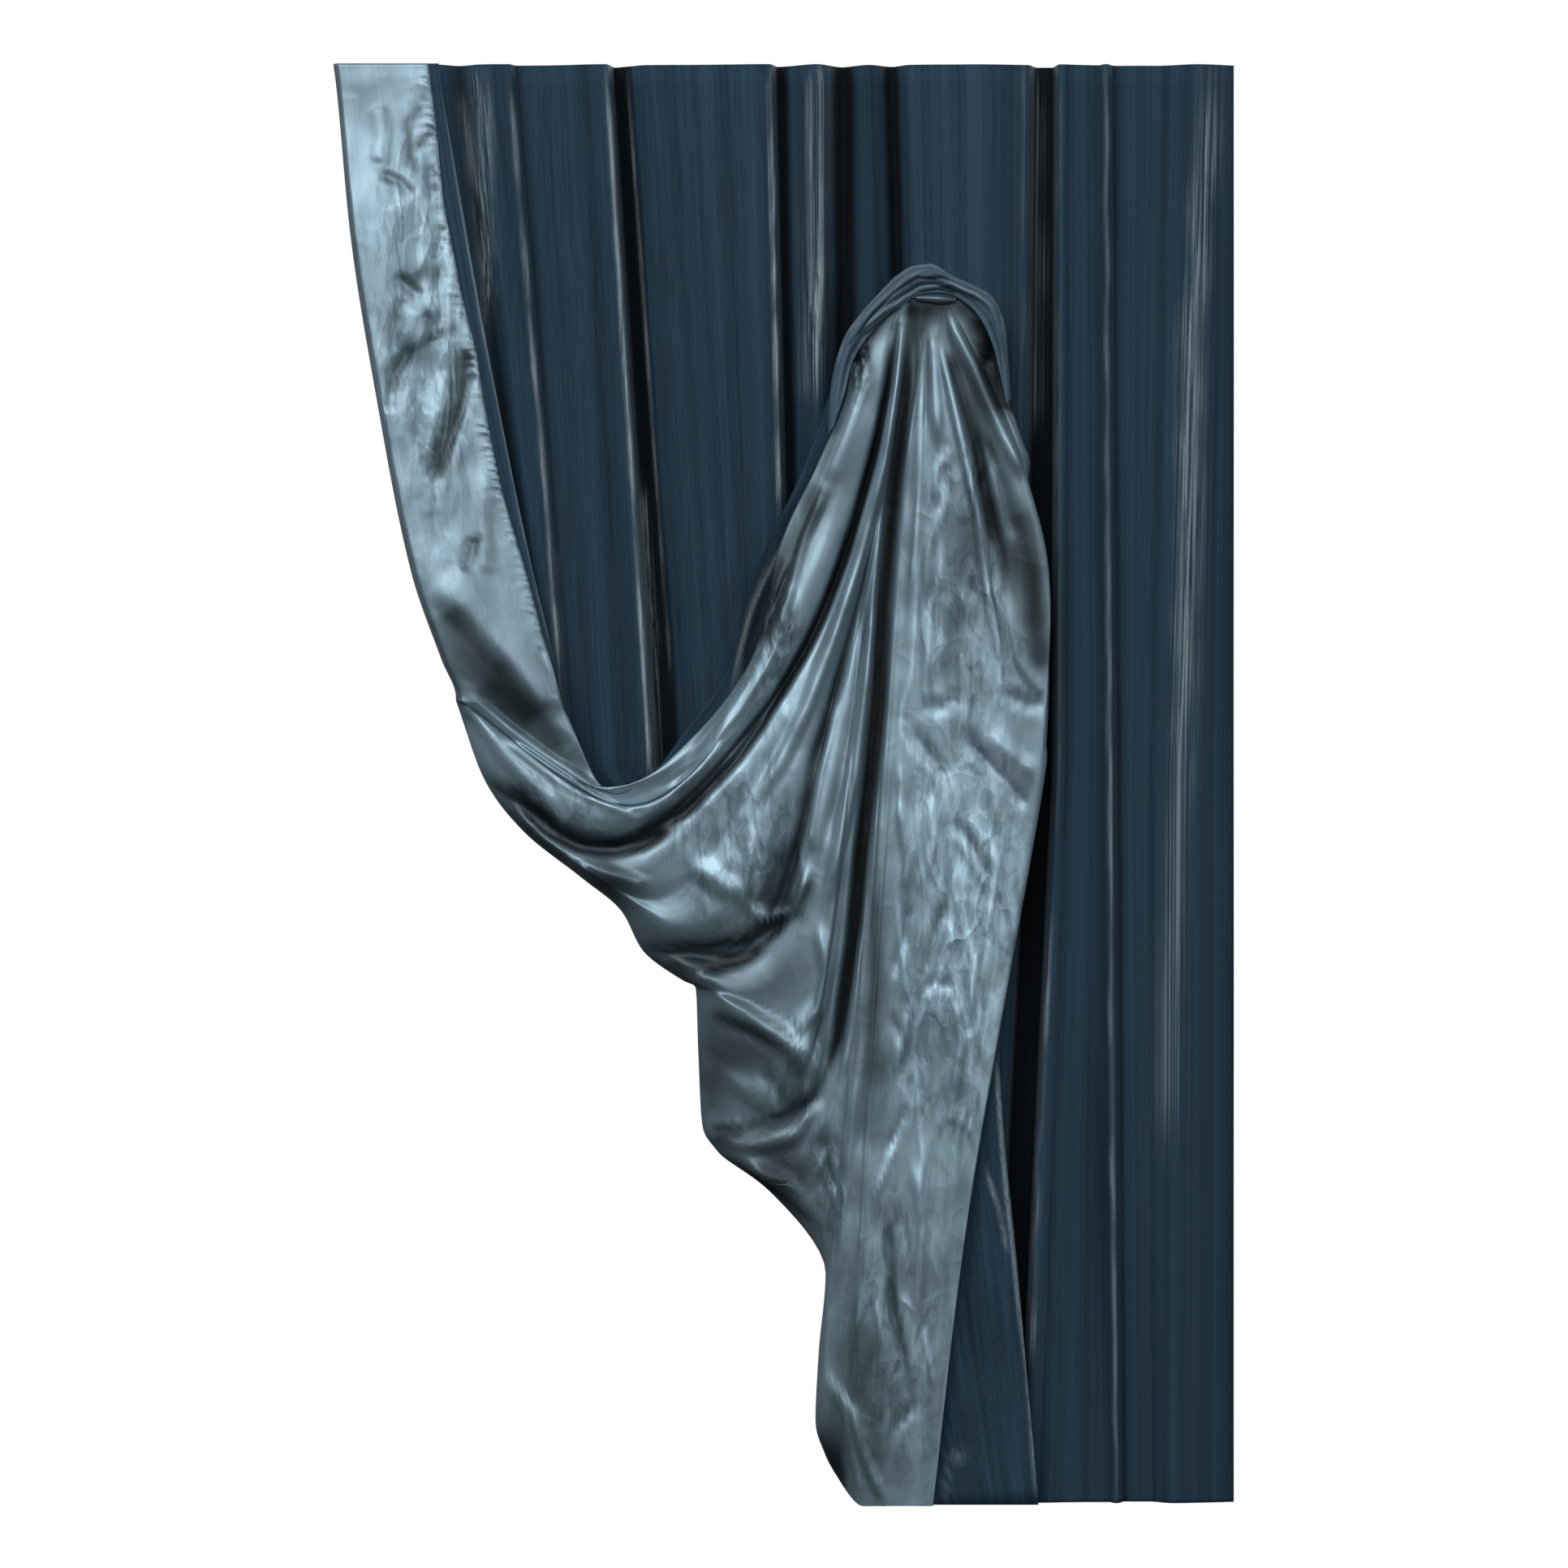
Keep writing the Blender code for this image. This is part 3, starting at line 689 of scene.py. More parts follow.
# %% Folds of the fan
HIGH_DROP = 0.60
MID_DROP = 0.90
SATIN_FOLDS = [
    # x high, x middle, turn, end, lift high, lift at the middle, lift after the turn
    (0.088, -0.028, (-0.222, 1.098), (-0.484, 0.940), 0.020, 0.024, 0.026),
    (0.127, 0.010, (-0.238, 1.150), (-0.440, 1.060), 0.004, 0.002, 0.003),
    (0.137, 0.030, (-0.200, 1.185), (-0.385, 1.132), 0.015, 0.016, 0.018),
    (0.146, 0.050, (-0.150, 1.212), (-0.300, 1.200), 0.023, 0.024, 0.016),
    (0.149, 0.066, (-0.090, 1.243), (-0.240, 1.250), 0.019, 0.016, 0.022),
    (0.152, 0.081, (-0.030, 1.282), (-0.207, 1.310), 0.013, 0.004, 0.004),
    (0.154, 0.094, (0.000, 1.335), (-0.150, 1.352), 0.009, 0.006, 0.024),
    (0.156, 0.107, (0.035, 1.420), (-0.130, 1.364), 0.005, 0.011, 0.024),
    (0.158, 0.117, (0.030, 1.495), (-0.126, 1.460), 0.001, 0.015, 0.009),
    (0.160, 0.124, (0.035, 1.555), (-0.120, 1.567), -0.002, 0.016, 0.004),
    (0.162, 0.132, (0.040, 1.600), (-0.098, 1.605), -0.003, 0.008, 0.006),
    (0.165, 0.138, (0.060, 1.620), (-0.020, 1.665), -0.003, -0.003, 0.007),
    (0.169, 0.143, (0.082, 1.620), (0.062, 1.785), -0.001, -0.004, 0.008),
    (0.174, 0.148, (0.088, 1.640), (0.052, 1.900), 0.003, 0.000, 0.009),
    (0.180, 0.153, (0.097, 1.660), (0.047, 2.000), 0.006, 0.007, 0.012),
    (0.187, 0.160, (0.107, 1.680), (0.062, 2.055), 0.009, 0.013, 0.014),
    (0.197, 0.172, (0.120, 1.680), (0.115, 2.125), 0.010, 0.016, 0.015),
    (0.214, 0.200, (0.150, 1.680), (0.140, 2.125), 0.015, 0.016, 0.014),
    (0.240, 0.240, (0.185, 1.680), (0.160, 2.125), 0.012, 0.013, 0.013),
    (0.270, 0.285, (0.215, 1.680), (0.180, 2.125), 0.014, 0.012, 0.012),
    (0.297, 0.322, (0.240, 1.680), (0.200, 2.125), 0.003, 0.014, 0.014),
    (0.340, 0.362, (0.258, 1.680), (0.210, 2.125), 0.018, 0.012, 0.013),
    (0.354, 0.388, (0.272, 1.680), (0.218, 2.125), 0.009, 0.013, 0.013),
]
# The lining's edge at the right: inside the tieback, out round the lobe below it, and down the tail.
HOOD_ROUTE = [(0.262, 0.350), (0.300, 0.388), (0.324, 0.440), (0.333, 0.500), (0.350, 0.556),
              (0.362, 0.590), (0.354, 0.640), (0.356, 0.690), (0.370, 0.755), (0.383, 0.830),
              (0.3895, 0.900), (0.386, 1.000), (0.376, 1.100), (0.2732, 1.68), (0.2186, 2.125)]
HOOD_LIFT = (-0.004, 0.006, 0.012)          # high, at the middle and after the turn
LIFT_AT = (0.0, 0.20, 0.42, 0.72, 1.0)      # shares of a fold's length at which its lifts are given
TAIL_FROM = 16              # the first fold whose end hangs free at the bottom
LINES_BETWEEN = 8           # fine lines from one fold to the next
NECK_TALL = 0.022           # the folds leave the throat straight down for this far
WRAP_SHARE = 0.06           # last share of a fold that rounds back to the seam
THROAT_BLEND = 0.06         # first share of a fold in which it rises from the flat throat
rounding = np.linspace(0, math.pi / 2, 13)
LONG_STEPS = np.concatenate([np.linspace(0, 1 - WRAP_SHARE, 148)[:-1],
                             1 - WRAP_SHARE * (1 - np.sin(rounding))])
print(len(SATIN_FOLDS), "folds with", len(LONG_STEPS), "points along each")

# %% Places of the fan
def satin_forward(x, drop, lift, along):
    """How far forward the satin lies: flat in the throat, over the velvet, rounded back at its end."""
    front = backing(x, drop) + LINING_GAP + lift
    front = THROAT_FORWARD + (front - THROAT_FORWARD) * smooth((along - 0.008) / THROAT_BLEND)
    near_end = np.clip((1.0 - along) / WRAP_SHARE, 0.0, 1.0)
    return SEAM_FORWARD + (front - SEAM_FORWARD) * np.sqrt(1 - (1 - near_end) ** 2)


def fan_paths():
    """The path of each fold of the fan, as x and drop."""
    left = np.array(THROAT_LEFT)
    right = np.array(THROAT_RIGHT)
    paths = []
    for k, (high_x, mid_x, turn, end, _, _, _) in enumerate(SATIN_FOLDS):
        start = left + (right - left) * (k + 1) / len(SATIN_FOLDS)
        neck = start + np.array([0.0, NECK_TALL])
        drawn = [start, neck, (high_x, HIGH_DROP), (mid_x, MID_DROP), turn, end]
        paths.append(curve_through(drawn, LONG_STEPS))
    paths.append(curve_through(HOOD_ROUTE, LONG_STEPS))
    return np.array(paths)


def rounded_lifts(lifts, counts):
    """Lifts between the folds: round at the higher one, sharp at the lower one."""
    k = np.clip(counts.astype(int), 0, len(lifts) - 2)
    t = counts - k
    low_first = lifts[k] + (lifts[k + 1] - lifts[k]) * np.sin(math.pi / 2 * t)
    high_first = lifts[k + 1] + (lifts[k] - lifts[k + 1]) * np.sin(math.pi / 2 * (1 - t))
    return np.where(lifts[k + 1] > lifts[k], low_first, high_first)


paths = fan_paths()
fold_count = len(paths)
counts = np.linspace(0, fold_count - 1, (fold_count - 1) * LINES_BETWEEN + 1)
fan = through(np.arange(fold_count), paths, counts)
stages = []
for n, hood_lift in enumerate(HOOD_LIFT):
    fold_lifts = [fold[4 + n] for fold in SATIN_FOLDS]
    stages.append(rounded_lifts(np.array(fold_lifts + [hood_lift]), counts))
fan_lift = through(LIFT_AT, np.array([0 * counts] + stages + [stages[-1]]), LONG_STEPS).T
free_end = smooth((counts - (TAIL_FROM - 0.6)) / 0.6)[:, None]
fan_along = LONG_STEPS[None, :] * (1 - WRAP_SHARE * free_end)
print("fan of", fan.shape[0], "lines")

# %% [markdown]
# ### The turned band
#
# From the top the lining shows as a flat band beside the velvet's folded edge. It is sewn down at the
# top, and lower down it dives behind the roll of the swag. The same lines run on from the band into the
# swag, so that both are one cloth.

# %% Places of the band
# The satin's hem from the throat, along the sweep, to where the band dives behind the roll.
HEM_ROUTE = [(0.140, 0.362), (0.112, 0.405), (0.098, 0.450), (0.088, 0.505), (0.046, 0.60), (-0.005, 0.71),
             (-0.048, 0.88), (-0.150, 1.01), (-0.255, 1.076), (-0.323, 0.955)]
# x, drop of the satin's edge up the band, inside the velvet's edge
BAND_EDGE = [(-0.525, 0.0), (-0.521, 0.03), (-0.512, 0.10), (-0.502, 0.20), (-0.487, 0.28), (-0.470, 0.36),
             (-0.455, 0.42), (-0.445, 0.48), (-0.430, 0.56), (-0.415, 0.63), (-0.398, 0.69), (-0.380, 0.75),
             (-0.356, 0.84), (-0.338, 0.90), (-0.323, 0.955)]
BAND_SHARES = (0.0, 0.3, 0.6, 0.93, 0.965, 1.0)
BAND_TURN = 0.07            # last share of the band's width that turns round the fold
SWAG_SHARES = (0.50, 0.82, 0.97, 1.00, 1.00)      # lift in the swag, as shares of the first fold's
POCKET_LIFTS = (0.008, 0.012, 0.008, 0.002, -0.002)     # lift where the band comes out from behind the roll
UPPER_LIFTS = (0.000, 0.006, 0.010, 0.010, 0.010)       # and further up
LIFT_BLEND = 0.10           # share of a line, and metres up the band, over which one lift becomes the next
BAND_ACROSS = 34            # fine lines across the band
BAND_DOWN = 230             # fine steps up it
BAND_SEWN = 0.25            # metres over which the band rises from the sewn top


def edge_at(line, drop):
    """The x of a drawn edge, given as x and drop, at each drop."""
    return through([place[1] for place in line], [place[0] for place in line], drop)


def band_lines(first_path, first_forward, first_lift):
    """Lines from the throat round the swag's upper edge and up the band, from the hem to the fold."""
    hem = curve_through(HEM_ROUTE, LONG_STEPS)
    folds = [row[:2] for row in SECTIONS if row[1] < first_path[-1][1]] + [tuple(first_path[-1])]
    up_hem = np.linspace(HEM_ROUTE[-1][1], 0.0, BAND_DOWN + 1)[1:]
    up_fold = np.linspace(first_path[-1][1], 0.0, BAND_DOWN + 1)[1:]
    edge_line = np.array([edge_at(BAND_EDGE, up_hem), up_hem]).T
    fold_line = np.array([edge_at(folds, up_fold), up_fold]).T
    pocket = smooth((LONG_STEPS - 0.60) / LIFT_BLEND)
    lines = []
    for n, share in enumerate(BAND_SHARES[:-1]):
        swag_places = hem + (first_path - hem) * share
        lift = SWAG_SHARES[n] * first_lift * (1 - pocket) + POCKET_LIFTS[n] * pocket
        along = LONG_STEPS * (1 - WRAP_SHARE)
        forward = satin_forward(swag_places[:, 0], swag_places[:, 1], lift, along)
        swag = np.column_stack([swag_places[:, 0], forward, swag_places[:, 1]])
        places = edge_line + (fold_line - edge_line) * share
        sewn = smooth((places[:, 1] - SEWN_DROP) / BAND_SEWN)
        flat = STAND + (VELVET_THICK + SATIN_THICK) / 2 + SEWN_GAP
        risen = smooth((places[0, 1] - places[:, 1]) / LIFT_BLEND)
        lift = POCKET_LIFTS[n] * (1 - risen) + UPPER_LIFTS[n] * risen
        upper = flat + (backing(places[:, 0], places[:, 1]) + LINING_GAP + lift - flat) * sewn
        lines.append(np.vstack([swag, np.column_stack([places[:, 0], upper, places[:, 1]])]))
    swag = np.column_stack([first_path[:, 0], first_forward, first_path[:, 1]])
    seam = np.column_stack([fold_line[:, 0], np.full(BAND_DOWN, SEAM_FORWARD), fold_line[:, 1]])
    lines.append(np.vstack([swag, seam]))
    return np.array(lines)


print("the hem runs through", len(HEM_ROUTE), "places in the swag and", len(BAND_EDGE), "up the band")

# %% The fan and the band as grids
# After its turn each fold of the swag leans back towards its end, so the belly looks down and is dark.
past_turn = smooth((LONG_STEPS - 0.55) / 0.40)[None, :] * (1 - free_end)
LEAN_BACK = 0.016
past_throat = smooth((LONG_STEPS - 0.3) / 0.3)[None, :]
fan_lift = fan_lift + LEAN_BACK * (0.45 - past_turn) * (1 - free_end) * past_throat
fan_forward = satin_forward(fan[..., 0], fan[..., 1], fan_lift, fan_along)
fan_grid = np.stack([fan[..., 0], fan_forward, fan[..., 1]], axis=-1)
band_knots = band_lines(fan_grid[0][:, [0, 2]], fan_grid[0][:, 1], fan_lift[0])
band_shares = np.concatenate([np.linspace(0, 1 - BAND_TURN, BAND_ACROSS - 9),
                              1 - BAND_TURN * (1 - np.sin(np.linspace(0, math.pi / 2, 10)[1:]))])
band_grid = through(BAND_SHARES, band_knots, band_shares)
# Up the band the last strip turns round the fold as a quarter circle.
turn = np.clip((band_shares - 1 + BAND_TURN) / BAND_TURN, 0, 1)[:, None]
upper = band_grid[:, len(LONG_STEPS):]
kept = band_knots[3][len(LONG_STEPS):, 1][None, :]
rounded = SEAM_FORWARD + (kept - SEAM_FORWARD) * np.sqrt(1 - turn ** 2)
upper[..., 1] = np.where(turn > 0, rounded, upper[..., 1])
print("band of", band_grid.shape[0], "lines and", band_grid.shape[1], "points")

# %% [markdown]
# ### Creases of the satin
#
# The folds above are the ones that show from across the room. The lines below are the creases on them:
# long thin ridges that run down from the throat, the lip where the swag's roll lies over the band, the
# pulled V in its belly, and the knocks and puckers of the hem. Each has its own height and reach.

# %% Creases of the band and the roll
BAND_CREASES = [
    # line, height, reach left or below, reach right or above
    ([(-0.530, 0.055), (-0.555, 0.100), (-0.548, 0.160)], -0.0060, 0.014, 0.014),
    ([(-0.515, 0.095), (-0.545, 0.135)], -0.0050, 0.010, 0.010),
    ([(-0.523, 0.150), (-0.521, 0.200)], -0.0050, 0.009, 0.009),
    ([(-0.595, 0.162), (-0.565, 0.175), (-0.550, 0.195)], -0.0040, 0.014, 0.010),
    ([(-0.600, 0.060), (-0.590, 0.110), (-0.600, 0.150)], 0.0040, 0.022, 0.022),
    ([(-0.500, 0.240), (-0.515, 0.290)], -0.0060, 0.012, 0.009),
    ([(-0.570, 0.315), (-0.535, 0.345)], -0.0045, 0.015, 0.012),
    ([(-0.530, 0.370), (-0.512, 0.410)], -0.0050, 0.014, 0.014),
    ([(-0.560, 0.345), (-0.580, 0.430)], -0.0040, 0.012, 0.012),
    ([(-0.545, 0.415), (-0.575, 0.460), (-0.583, 0.520)], -0.0050, 0.014, 0.010),
    ([(-0.465, 0.420), (-0.475, 0.500), (-0.505, 0.590), (-0.515, 0.625)], -0.0085, 0.020, 0.016),
    ([(-0.490, 0.400), (-0.502, 0.500), (-0.530, 0.600)], 0.0055, 0.022, 0.014),
    ([(-0.455, 0.700), (-0.470, 0.750)], -0.0050, 0.012, 0.010),
    ([(-0.440, 0.600), (-0.446, 0.680), (-0.440, 0.760)], 0.0040, 0.014, 0.020),
    ([(-0.515, 0.760), (-0.450, 0.820), (-0.390, 0.890), (-0.335, 0.970)], 0.0100, 0.036, 0.070),
    ([(-0.365, 0.860), (-0.345, 0.900), (-0.332, 0.935)], -0.0040, 0.010, 0.010),
    ([(-0.455, 0.925), (-0.400, 0.972), (-0.335, 1.020), (-0.270, 1.062)], -0.0100, 0.010, 0.040),
]
ROLL_CREASES = [
    # line, height, reach left or below, reach right or above
    ([(-0.487, 0.932), (-0.430, 0.987), (-0.380, 1.014), (-0.330, 1.048),
      (-0.280, 1.078), (-0.215, 1.114)], 0.0070, 0.016, 0.006),
    ([(-0.468, 0.962), (-0.420, 1.020), (-0.360, 1.068), (-0.300, 1.104),
      (-0.240, 1.120), (-0.190, 1.104), (-0.130, 1.055), (-0.060, 0.955),
      (0.000, 0.845), (0.050, 0.735), (0.090, 0.630)], 0.0070, 0.036, 0.034),
    ([(-0.465, 0.962), (-0.400, 1.032), (-0.350, 1.082), (-0.315, 1.128)], 0.0040, 0.014, 0.012),
    ([(-0.440, 0.978), (-0.380, 1.032), (-0.330, 1.072)], -0.0040, 0.010, 0.008),
    ([(-0.430, 1.075), (-0.390, 1.098), (-0.350, 1.128), (-0.300, 1.152),
      (-0.250, 1.156), (-0.210, 1.150), (-0.165, 1.128)], -0.0110, 0.018, 0.012),
    ([(-0.225, 1.145), (-0.145, 1.105), (-0.071, 1.030), (-0.035, 0.980), (-0.005, 0.930),
      (0.030, 0.865), (0.061, 0.798), (0.085, 0.735), (0.104, 0.680), (0.122, 0.615),
      (0.139, 0.550), (0.152, 0.480), (0.160, 0.400)], -0.0090, 0.012, 0.012),
    ([(-0.225, 1.140), (-0.213, 1.118), (-0.180, 1.100), (-0.150, 1.084)], 0.0060, 0.005, 0.016),
    ([(0.010, 0.740), (-0.020, 0.820), (-0.040, 0.880)], -0.0050, 0.008, 0.012),
    ([(-0.020, 0.900), (-0.060, 0.965), (-0.120, 1.030), (-0.180, 1.070)], -0.0035, 0.010, 0.010),
    ([(0.060, 0.630), (0.030, 0.700), (0.010, 0.770), (-0.010, 0.850)], 0.0050, 0.010, 0.014),
    ([(-0.420, 1.080), (-0.395, 1.100), (-0.360, 1.130)], 0.0060, 0.014, 0.008),
]
print(len(BAND_CREASES) + len(ROLL_CREASES), "creases on the band and roll")

# %% Creases of the swag
SWAG_CREASES = [
    # line, height, reach left or below, reach right or above
    ([(0.176, 0.366), (0.176, 0.420), (0.167, 0.470), (0.156, 0.530), (0.146, 0.595),
      (0.130, 0.660), (0.116, 0.723), (0.093, 0.800), (0.065, 0.874), (0.035, 0.950),
      (-0.010, 1.040), (-0.060, 1.110)], 0.0080, 0.018, 0.016),
    ([(0.130, 0.440), (0.098, 0.540), (0.066, 0.625)], 0.0050, 0.024, 0.026),
    ([(0.078, 0.930), (0.052, 1.050), (0.030, 1.180)], 0.0070, 0.016, 0.010),
    ([(0.146, 0.640), (0.134, 0.750), (0.122, 0.900), (0.104, 1.060),
      (0.078, 1.170), (0.056, 1.260)], 0.0100, 0.018, 0.012),
    ([(0.145, 0.620), (0.120, 0.720), (0.092, 0.850),
      (0.062, 0.980), (0.035, 1.060)], -0.0090, 0.020, 0.016),
    ([(0.124, 0.780), (0.104, 0.950), (0.080, 1.070), (0.058, 1.160)], -0.0060, 0.014, 0.013),
    ([(0.187, 0.375), (0.180, 0.480), (0.167, 0.580), (0.157, 0.680),
      (0.147, 0.800), (0.139, 0.950), (0.128, 1.050), (0.115, 1.150),
      (0.101, 1.300), (0.079, 1.440), (0.052, 1.525)], -0.0240, 0.018, 0.015),
    ([(-0.045, 1.130), (-0.058, 1.240), (-0.020, 1.262),
      (0.020, 1.246), (0.034, 1.180)], 0.0075, 0.012, 0.010),
    ([(-0.004, 1.160), (-0.030, 1.225), (-0.052, 1.255)], -0.0055, 0.016, 0.016),
    ([(-0.135, 1.180), (-0.090, 1.215), (-0.050, 1.225)], 0.0050, 0.020, 0.030),
    ([(-0.200, 1.308), (-0.120, 1.306), (-0.050, 1.295),
      (-0.015, 1.278), (0.032, 1.225)], -0.0105, 0.014, 0.016),
    ([(-0.145, 1.346), (-0.100, 1.335), (-0.030, 1.310)], -0.0060, 0.010, 0.012),
    ([(0.052, 1.270), (0.062, 1.340), (0.052, 1.395), (0.022, 1.420),
      (0.042, 1.455), (0.057, 1.475)], 0.0080, 0.014, 0.014),
    ([(-0.128, 1.366), (-0.060, 1.394), (-0.010, 1.428), (0.036, 1.458),
      (0.054, 1.486), (0.046, 1.516)], 0.0110, 0.050, 0.012),
    ([(-0.110, 1.405), (-0.050, 1.428), (0.010, 1.462)], -0.0060, 0.016, 0.012),
    ([(-0.010, 1.480), (0.005, 1.520)], 0.0060, 0.012, 0.012),
    ([(0.025, 1.470), (0.035, 1.520)], 0.0060, 0.010, 0.010),
    ([(-0.118, 1.568), (-0.050, 1.570), (0.000, 1.555), (0.042, 1.528)], -0.0120, 0.014, 0.020),
    ([(-0.100, 1.592), (-0.050, 1.596), (0.020, 1.580), (0.046, 1.532)], 0.0070, 0.014, 0.012),
    ([(-0.110, 1.480), (-0.060, 1.510), (0.000, 1.540)], 0.0070, 0.020, 0.026),
    ([(-0.060, 1.625), (0.000, 1.650), (0.040, 1.700)], 0.0050, 0.016, 0.020),
    ([(0.058, 1.580), (0.066, 1.640), (0.060, 1.720)], -0.0060, 0.010, 0.010),
    ([(0.070, 1.590), (0.055, 1.630), (0.075, 1.670), (0.060, 1.720)], 0.0040, 0.006, 0.006),
    ([(-0.300, 1.180), (-0.250, 1.200), (-0.200, 1.215)], 0.0060, 0.026, 0.020),
]
print(len(SWAG_CREASES), "creases on the swag")

# %% Creases of the tail
TAIL_CREASES = [
    # line, height, reach left or below, reach right or above
    ([(0.110, 1.270), (0.107, 1.350), (0.100, 1.420), (0.085, 1.500)], 0.0070, 0.008, 0.010),
    ([(0.102, 1.480), (0.092, 1.600), (0.082, 1.750), (0.066, 1.820)], 0.0060, 0.020, 0.016),
    ([(0.132, 1.200), (0.128, 1.350), (0.122, 1.500), (0.112, 1.620)], -0.0060, 0.014, 0.018),
    ([(0.205, 0.390), (0.203, 0.500), (0.200, 0.600),
      (0.194, 0.700), (0.184, 0.820)], 0.0045, 0.014, 0.007),
    ([(0.216, 0.395), (0.221, 0.480), (0.227, 0.560)], 0.0075, 0.014, 0.014),
    ([(0.247, 0.572), (0.226, 0.600), (0.222, 0.632), (0.240, 0.648)], 0.0045, 0.008, 0.008),
    ([(0.243, 0.640), (0.228, 0.670), (0.212, 0.720),
      (0.206, 0.800), (0.212, 0.930)], 0.0050, 0.011, 0.010),
    ([(0.224, 0.400), (0.240, 0.470), (0.256, 0.540), (0.271, 0.610), (0.284, 0.670),
      (0.294, 0.750), (0.318, 0.870), (0.322, 0.925)], 0.0080, 0.008, 0.011),
    ([(0.243, 0.415), (0.264, 0.500), (0.284, 0.580),
      (0.302, 0.680), (0.312, 0.780)], -0.0080, 0.012, 0.013),
    ([(0.300, 0.690), (0.325, 0.800), (0.342, 0.880), (0.383, 0.938)], 0.0060, 0.012, 0.014),
    ([(0.243, 0.366), (0.252, 0.400), (0.277, 0.450), (0.298, 0.500),
      (0.320, 0.550), (0.345, 0.595), (0.356, 0.612)], 0.0120, 0.013, 0.015),
    ([(0.300, 0.550), (0.322, 0.620), (0.340, 0.700)], -0.0060, 0.012, 0.014),
    ([(0.200, 0.952), (0.230, 0.946), (0.262, 0.935)], -0.0055, 0.012, 0.008),
    ([(0.325, 0.928), (0.350, 0.940), (0.386, 0.946)], -0.0060, 0.012, 0.008),
    ([(0.190, 0.985), (0.215, 1.020), (0.242, 1.052)], -0.0050, 0.012, 0.010),
    ([(0.268, 0.995), (0.330, 1.060), (0.362, 1.092)], -0.0070, 0.016, 0.012),
    ([(0.300, 0.990), (0.345, 1.030), (0.372, 1.050)], 0.0050, 0.012, 0.014),
    ([(0.250, 1.115), (0.275, 1.150), (0.302, 1.205)], -0.0050, 0.012, 0.012),
    ([(0.182, 1.240), (0.176, 1.290), (0.160, 1.345)], -0.0045, 0.010, 0.010),
    ([(0.237, 1.240), (0.212, 1.315), (0.204, 1.355)], -0.0055, 0.012, 0.010),
    ([(0.204, 1.360), (0.228, 1.352), (0.252, 1.362)], -0.0050, 0.010, 0.010),
    ([(0.155, 1.400), (0.181, 1.455), (0.165, 1.505)], -0.0045, 0.009, 0.009),
    ([(0.250, 1.380), (0.262, 1.440), (0.250, 1.520)], 0.0045, 0.012, 0.012),
    ([(0.182, 1.540), (0.170, 1.570), (0.152, 1.600)], -0.0050, 0.010, 0.010),
    ([(0.155, 1.690), (0.160, 1.830), (0.180, 1.920),
      (0.190, 1.980), (0.155, 2.020)], -0.0070, 0.014, 0.012),
    ([(0.055, 1.935), (0.080, 1.965), (0.097, 1.985),
      (0.115, 2.050), (0.146, 2.120)], 0.0060, 0.009, 0.012),
    ([(0.142, 1.860), (0.140, 2.000)], 0.0050, 0.008, 0.010),
    ([(0.190, 1.620), (0.205, 1.720), (0.196, 1.850)], 0.0050, 0.012, 0.012),
    ([(0.168, 1.090), (0.182, 1.170), (0.178, 1.220)], 0.0050, 0.010, 0.012),
]
# Thin wavy lines where the tail's cloth is pulled: low ridges that catch the light, with a painted highlight
# along them as well.
PULLED_LINES = [
    [(0.166, 1.216), (0.171, 1.293), (0.182, 1.370), (0.193, 1.387), (0.182, 1.403), (0.166, 1.469),
     (0.168, 1.513)],
    [(0.238, 1.260), (0.249, 1.293), (0.227, 1.348), (0.216, 1.387), (0.238, 1.410)],
    [(0.182, 1.546), (0.166, 1.579), (0.153, 1.623), (0.127, 1.678)],
    [(0.238, 1.546), (0.265, 1.557), (0.280, 1.574)],
    [(0.193, 1.480), (0.204, 1.612), (0.199, 1.667)],
    [(0.088, 1.970), (0.099, 2.030), (0.116, 2.107)],
    [(0.133, 1.820), (0.149, 1.887), (0.138, 1.942)],
    [(0.204, 1.865), (0.221, 1.942)],
    [(0.172, 1.037), (0.171, 1.110)],
    [(0.217, 1.077), (0.220, 1.150), (0.203, 1.203)],
    [(0.270, 1.170), (0.262, 1.250), (0.281, 1.330), (0.270, 1.420)],
    [(0.300, 1.120), (0.312, 1.190), (0.298, 1.280)],
]
TAIL_CREASES += [(line, 0.0032, 0.006, 0.006) for line in PULLED_LINES]
SATIN_CREASES = BAND_CREASES + ROLL_CREASES + SWAG_CREASES + TAIL_CREASES
print(len(SATIN_CREASES), "creases on the satin in all")

# %% [markdown]
# ### Crumple
#
# Between the drawn creases satin is never quite smooth. Random heights, stretched along the way in which
# the cloth is pulled, give the small wavy marks of the tail's face. They could be only painted as bumps,
# but real heights also bend the gloss and show from the side. The random numbers come from a fixed
# pattern, so each run gives the same cloth.

